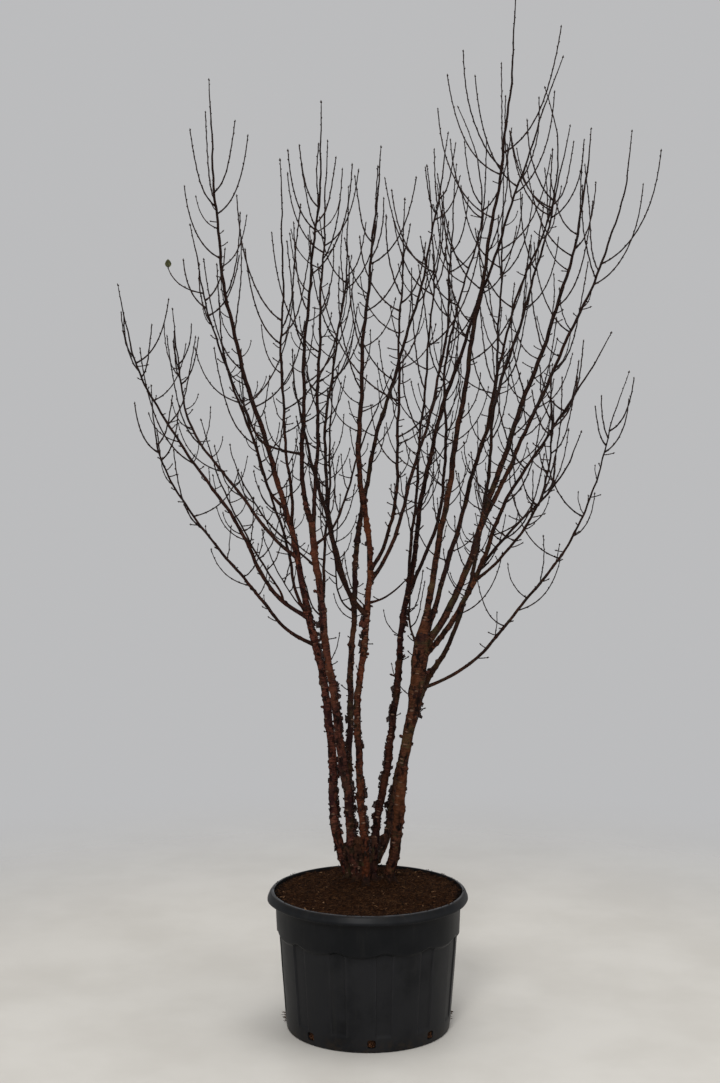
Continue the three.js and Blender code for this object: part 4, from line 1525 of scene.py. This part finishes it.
def hole_ways():
    return [from_front(math.radians(HOLE_TURN + i * 360 / HOLE_COUNT)) for i in range(HOLE_COUNT)]


def drill_mesh():
    """Rounded square bars through the wall at the drain holes."""
    pile = Pile()
    turn = ring_turns(28)
    squared = HOLE_SIZE / 2 * (np.abs(np.cos(turn)) ** 4 + np.abs(np.sin(turn)) ** 4) ** -0.25
    for out in hole_ways():
        places = out * np.array((FOOT_RADIUS - 30, FOOT_RADIUS + 30))[:, None] + HOLE_HEIGHT * UP
        pile.add(*tube(places, np.stack([squared, squared]), len(turn), reference=UP))
    return pile.mesh("drills", False)


# The soil and what lies on it.

def soil_height(x, y):
    """The soil's top: level, lower at the wall, heaped round the stems, clumpy."""
    reach = np.hypot(x, y)
    edge = inner_radius(SOIL_EDGE)
    height = np.interp(reach, (0, SOIL_LEVEL_RADIUS, edge), (SOIL_LEVEL, SOIL_LEVEL, SOIL_EDGE))
    height = height - SOIL_EDGE_DROP * np.clip((reach - edge) / SOIL_EDGE_WIDTH + 1, 0, 1)
    for stem in STEMS:
        foot = path_of(stem, 0.0)
        off = np.hypot(x - foot[0], y - foot[1])
        height = np.maximum(height, SOIL_LEVEL - 6 + MOUND_HEIGHT * np.exp(-(off / MOUND_REACH) ** 2))
    for i, (size, rise) in enumerate(CLUMPS):
        height = height + rise * grain(np.stack([x, y, 0 * x], -1), size, 20 + i)
    return height


def make_soil(material):
    """A closed body of soil: underside, side along the wall, and clumpy top."""
    angle = ring_turns(SOIL_TURNS)[None]
    x, y = np.sin(angle), -np.cos(angle)
    at_holes, above = np.linspace(15, 61, 16), np.linspace(100, 520, 10)
    heights = np.concatenate([[FLOOR_THICK + 1], at_holes, above])[:, None]
    reach = inner_radius(heights) - SOIL_GAP
    side = np.stack([reach * x, reach * y, heights + 0 * angle], -1)
    inward = np.where(heights < 62, 3.5, 1.0) * np.minimum(grain(side, 9, 31) - 0.8, 0)
    foot = side[:1] * (0.5, 0.5, 1)
    side[..., 0] += inward * x
    side[..., 1] += inward * y
    reach = np.linspace(1, 0, 110)[:-1, None] ** 0.9 * (inner_radius(SOIL_EDGE) - SOIL_GAP)
    top = np.stack([reach * x, reach * y, soil_height(reach * x, reach * y)], -1)
    rows = np.concatenate([foot, side, top])
    middle = soil_height(np.zeros(1), np.zeros(1))[0]
    ends = np.array([(0, 0, FLOOR_THICK + 1), (0, 0, middle)])
    points = np.concatenate([rows.reshape(-1, 3), ends])
    body = make_mesh("soil_body", points, wrapped_grid(len(rows), SOIL_TURNS))
    declare(put_in_scene("soil_body", body), material, ["soil"])


CRUMB = np.array([(1, 0, 0), (0, 1, 0), (-1, 0, 0), (0, -1, 0), (0, 0, 1), (0, 0, -1)], float) / 2
CRUMB_FACES = wrapped_grid(1, 4)[:, ::-1]
CHIP_CORNERS = ((1, -0.7), (0.8, 1), (-1, 0.8), (-0.8, -1))
CHIP = np.array([(x, y, z) for z in (-1, 1) for x, y in CHIP_CORNERS], float) / 2
CHIP_FACES = np.array([
    (0, 2, 1), (0, 3, 2), (4, 5, 6), (4, 6, 7), (0, 1, 5), (0, 5, 4),
    (1, 2, 6), (1, 6, 5), (2, 3, 7), (2, 7, 6), (3, 0, 4), (3, 4, 7),
])
CHIP_SIZE = (24, 6.5, 2.6)
BIT_BEND = 0.18
FIBRE_RADII = 0.7 * np.array((0.5, 1, 1, 0.9, 0.3))
ROOT_RADII = 1.4 * np.array((1.2, 1, 1, 0.8, 0.7, 0.3))
DRAIN_BITS = 60
TUFTED_HOLES = (2, 6)

# A hole's roots: how many, how far they reach and how much they stray.
TUFT = (26, (14, 30), 3.4)
WISP = (14, (5, 11), 1.4)


def scattered(count, random, outer=RIM_RADIUS - 12):
    """Places spread evenly over the soil's top."""
    reach = outer * np.sqrt(random.random(count))
    turn = random.uniform(0, FULL_TURN, count)
    x, y = reach * np.cos(turn), reach * np.sin(turn)
    return np.stack([x, y, soil_height(x, y)], 1)


def add_bits(pile, shape, faces, places, sizes, tilt, random):
    """Loose bits of one shape, tilted, turned and each bent out of true a little."""
    count = len(places)
    up = unit(random.normal(0, tilt, (count, 3)) + UP)
    side = unit(np.cross(up, random.normal(0, 1, (count, 3))))
    axes = np.stack([side, np.cross(up, side), up], axis=1)
    bent = shape * (1 + random.normal(0, BIT_BEND, (count, *shape.shape)))
    pile.add(*copies(bent, faces, sizes, axes, places))


def add_fibre(pile, place, length, random):
    """A thin bent fibre that lies about level."""
    turn = random.uniform(0, FULL_TURN)
    bend = random.normal(0, 0.6, 4).cumsum()
    ways = np.stack([np.cos(turn + bend), np.sin(turn + bend), random.normal(0.05, 0.22, 4)], 1)
    line = place + np.concatenate([np.zeros((1, 3)), ways.cumsum(0)]) * length / 4 + (0, 0, 1.5)
    pile.add(*tube(line, FIBRE_RADII, 3, reference=UP))


def make_litter(random):
    """Crumbs, bark chips and fibres on the soil, and a few crumbs on the lip."""
    crumbs, chips, fibres = Pile(), Pile(), Pile()
    sizes = random.gamma(3, 2.6, (CRUMB_COUNT, 1)).clip(3, 20) * random.uniform(0.45, 1, (CRUMB_COUNT, 3))
    add_bits(crumbs, CRUMB, CRUMB_FACES, scattered(CRUMB_COUNT, random), sizes, 0.6, random)
    turns = random.uniform(0, FULL_TURN, LIP_CRUMB_COUNT)
    reach = random.uniform(RIM_RADIUS + 1, LIP_TOP[0] - 4, LIP_CRUMB_COUNT)
    on_lip = np.stack([reach * np.cos(turns), reach * np.sin(turns), 0 * turns + POT_HEIGHT + 1], 1)
    add_bits(crumbs, CRUMB, CRUMB_FACES, on_lip, random.uniform(2, 8, (LIP_CRUMB_COUNT, 3)), 0.6, random)
    dark = mottled("soil_crumb", (0.0050, 0.0021, 0.0012), (0.0270, 0.0116, 0.0052))
    crumbs.piece("soil_crumbs", dark, "soil", smooth=False)
    sizes = random.uniform(0.35, 1, (CHIP_COUNT, 1)) ** 1.5 * np.array(CHIP_SIZE)
    add_bits(chips, CHIP, CHIP_FACES, scattered(CHIP_COUNT, random) + 1.2 * UP, sizes, 0.25, random)
    pale = mottled("bark_chip", (0.050, 0.025, 0.012), (0.19, 0.105, 0.052))
    chips.piece("pale_chips", pale, "soil", smooth=False)
    places = scattered(FIBRE_COUNT, random, RIM_RADIUS - 20)
    for place, length in zip(places, random.uniform(12, 44, FIBRE_COUNT)):
        add_fibre(fibres, place, length, random)
    brown = mottled("soil_fibre", (0.014, 0.0058, 0.0027), (0.080, 0.0365, 0.0152))
    fibres.piece("soil_fibres", brown, "soil")


def make_drain_roots(random):
    """Soil and roots that fill the drain holes, and poke out of two of them."""
    roots, crumbs = Pile(), Pile()
    for i, out in enumerate(hole_ways()):
        side = np.cross(UP, out)
        offsets = random.uniform(-0.44, 0.44, (DRAIN_BITS, 2)) * HOLE_SIZE
        depth = FOOT_RADIUS + random.uniform(-10, -3.5, DRAIN_BITS)
        places = depth[:, None] * out + offsets[:, :1] * side + (HOLE_HEIGHT + offsets[:, 1:]) * UP
        add_bits(crumbs, CRUMB, CRUMB_FACES, places, random.uniform(4, 10, (DRAIN_BITS, 3)), 2, random)
        count, reaches, stray = TUFT if i in TUFTED_HOLES else WISP
        for _ in range(count):
            aside, up = random.uniform(-0.42, 0.42, 2) * HOLE_SIZE
            start = out * (FOOT_RADIUS - 12) + side * aside + UP * (HOLE_HEIGHT + up)
            reach = random.uniform(*reaches)
            drift = random.normal(0, 0.5, (6, 3)).cumsum(0) * stray
            line = start + np.linspace(0, 1, 6)[:, None] * reach * out + drift
            roots.add(*tube(line, ROOT_RADII, 5, reference=UP))
    earth = mottled("drain_soil", (0.022, 0.009, 0.005), (0.085, 0.038, 0.018))
    crumbs.piece("drain_soil", earth, "soil", smooth=False)
    wood = mottled("fine_root", (0.018, 0.0080, 0.0042), (0.066, 0.030, 0.014))
    roots.piece("drain_roots", wood, "soil")


# The stage.

PHOTO_HEIGHT = 1083
HORIZON_ROW = 371
FOCAL_PIXELS = 1900
SENSOR = 36
CAMERA_PLACE = (-0.0343, -7.95, 2.735)
BACKDROP_GREY = (0.500, 0.502, 0.510, 1)
FLOOR_REACH = 6000
FLOOR_SIDES = 96

# Name, place, target, size and power.
LIGHT_ROWS = [
    ("key", (-1.1, -6.8, 5.4), (0, 0, 1.5), 2.2, 400),
    ("overhead", (0.6, 0.4, 8.0), (0, 0, 0), 4.5, 255),
    ("fill", (4.6, -3.6, 3.2), (0, 0, 1.2), 3.5, 50),
]


def make_camera():
    """Level, with the horizon above the middle of the frame, as in the photo."""
    data = bpy.data.cameras.new("camera")
    data.sensor_width = SENSOR
    data.lens = SENSOR * FOCAL_PIXELS / PHOTO_HEIGHT
    data.shift_y = (HORIZON_ROW - PHOTO_HEIGHT / 2) / PHOTO_HEIGHT
    data.clip_end = 100
    camera = put_in_scene("camera", data)
    camera.location = CAMERA_PLACE
    camera.rotation_euler = (math.pi / 2, 0, 0)
    bpy.context.scene.camera = camera


def make_floor():
    """A pale floor that fades into the backdrop's grey some way off."""
    paint = Paint("pale_floor", Roughness=0.55, Specular_IOR_Level=0.25)
    stains = paint.ramp(paint.clouds(1.7, 4), 0.3, 0.7)
    paint.set("Base Color", paint.mix(stains, (0.515, 0.492, 0.450), (0.570, 0.548, 0.506)))
    paint.set("Alpha", paint.ramp(paint.far(paint.at), 4.6, 1.6))
    turn = ring_turns(FLOOR_SIDES)
    edge = np.stack([np.cos(turn), np.sin(turn), 0 * turn], 1) * FLOOR_REACH
    corner = np.arange(FLOOR_SIDES)
    faces = np.stack([0 * corner + FLOOR_SIDES, corner, (corner + 1) % FLOOR_SIDES], 1)
    floor = put_in_scene("floor", make_mesh("floor", np.append(edge, [(0, 0, 0)], 0), faces, False))
    floor.data.materials.append(paint.material)
    floor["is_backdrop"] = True


def make_world():
    world = bpy.data.worlds.new("soft_grey")
    world.use_nodes = True
    background = world.node_tree.nodes["Background"]
    background.inputs["Color"].default_value = BACKDROP_GREY
    background.inputs["Strength"].default_value = 1.0
    bpy.context.scene.world = world
    bpy.context.scene.view_settings.view_transform = "Standard"


def make_lights():
    for name, place, target, size, power in LIGHT_ROWS:
        data = bpy.data.lights.new(name, "AREA")
        data.shape = "DISK"
        data.size = size
        data.energy = power
        light = put_in_scene(name, data)
        light.location = place
        way = Vector(target) - Vector(place)
        light.rotation_euler = way.to_track_quat("-Z", "Y").to_euler()


make_camera()
make_floor()
make_world()
make_lights()

# Each bark: its dark and light colours and how much green grows on it.
BARKS = {
    "bark": ((0.019, 0.0066, 0.0050), (0.076, 0.0250, 0.0165), 0.25),
    "pale_bark": ((0.024, 0.0080, 0.0058), (0.106, 0.0325, 0.0205), 0.25),
    "dark_bark": ((0.012, 0.0038, 0.0028), (0.046, 0.0142, 0.0092), 0.2),
    "warm_bark": ((0.020, 0.0064, 0.0040), (0.086, 0.0250, 0.0124), 0.25),
    "mossy_bark": ((0.015, 0.0060, 0.0038), (0.076, 0.0262, 0.0132), 0.9),
    "greenish_bark": ((0.016, 0.0068, 0.0046), (0.050, 0.0200, 0.0120), 0.7),
}
barks = {name: bark_material(name, *looks) for name, looks in BARKS.items()}
stem_barks = {
    "a": barks["pale_bark"], "b": barks["bark"], "c": barks["greenish_bark"], "d": barks["warm_bark"],
    "e": barks["dark_bark"], "f": barks["mossy_bark"], "g": barks["greenish_bark"],
}
fork_barks = {**stem_barks, "b": barks["greenish_bark"]}
twig_wood = mottled(
    "twig_wood", TWIG_BROWN, TWIG_PALE, rough=0.65, gloss=0.1, mottle=(60,), edges=(0.35, 0.75),
    relief=((500, 500, 900),), height=0.0004, strength=0.6,
)
bud_scales = mottled(
    "bud_scales", (0.0075, 0.0040, 0.0030), (0.032, 0.0150, 0.0100), rough=0.6, gloss=0.12,
    mottle=((500, 500, 700), 2), edges=(0.35, 0.75), relief=((500, 500, 700), 2), height=0.0005,
)
leaf_green = mottled(
    "last_leaf", (0.018, 0.020, 0.006), (0.070, 0.068, 0.026), rough=0.5, gloss=0.15,
    mottle=(90, 4), edges=(0.42, 0.66), height=0.0003, strength=0.7,
)

make_pot(pot_material())
make_soil(soil_material())
make_litter(np.random.default_rng(501))
make_drain_roots(np.random.default_rng(502))

bark_random = np.random.default_rng(503)
for stem in STEMS:
    make_stem(stem, TOP_LEADERS[stem.name], stem_barks[stem.name], bark_random)
for leader in LEADERS:
    if leader.bare > 0:
        make_bough(leader, stem_barks[leader.name[0]], bark_random)
make_root_crown(barks["greenish_bark"])
for stem in STEMS:
    make_forks(stem, fork_barks[stem.name])
make_stubs(barks["bark"], bark_random)
make_flakes(flake_material(), np.random.default_rng(504))
make_twigs(stem_barks, twig_wood, bud_scales)
make_leaf(leaf_green)

visual_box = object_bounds()
boxes = {"cad": cad_box, "visual": visual_box}
{name: [list(corner) for corner in box] for name, box in boxes.items()}
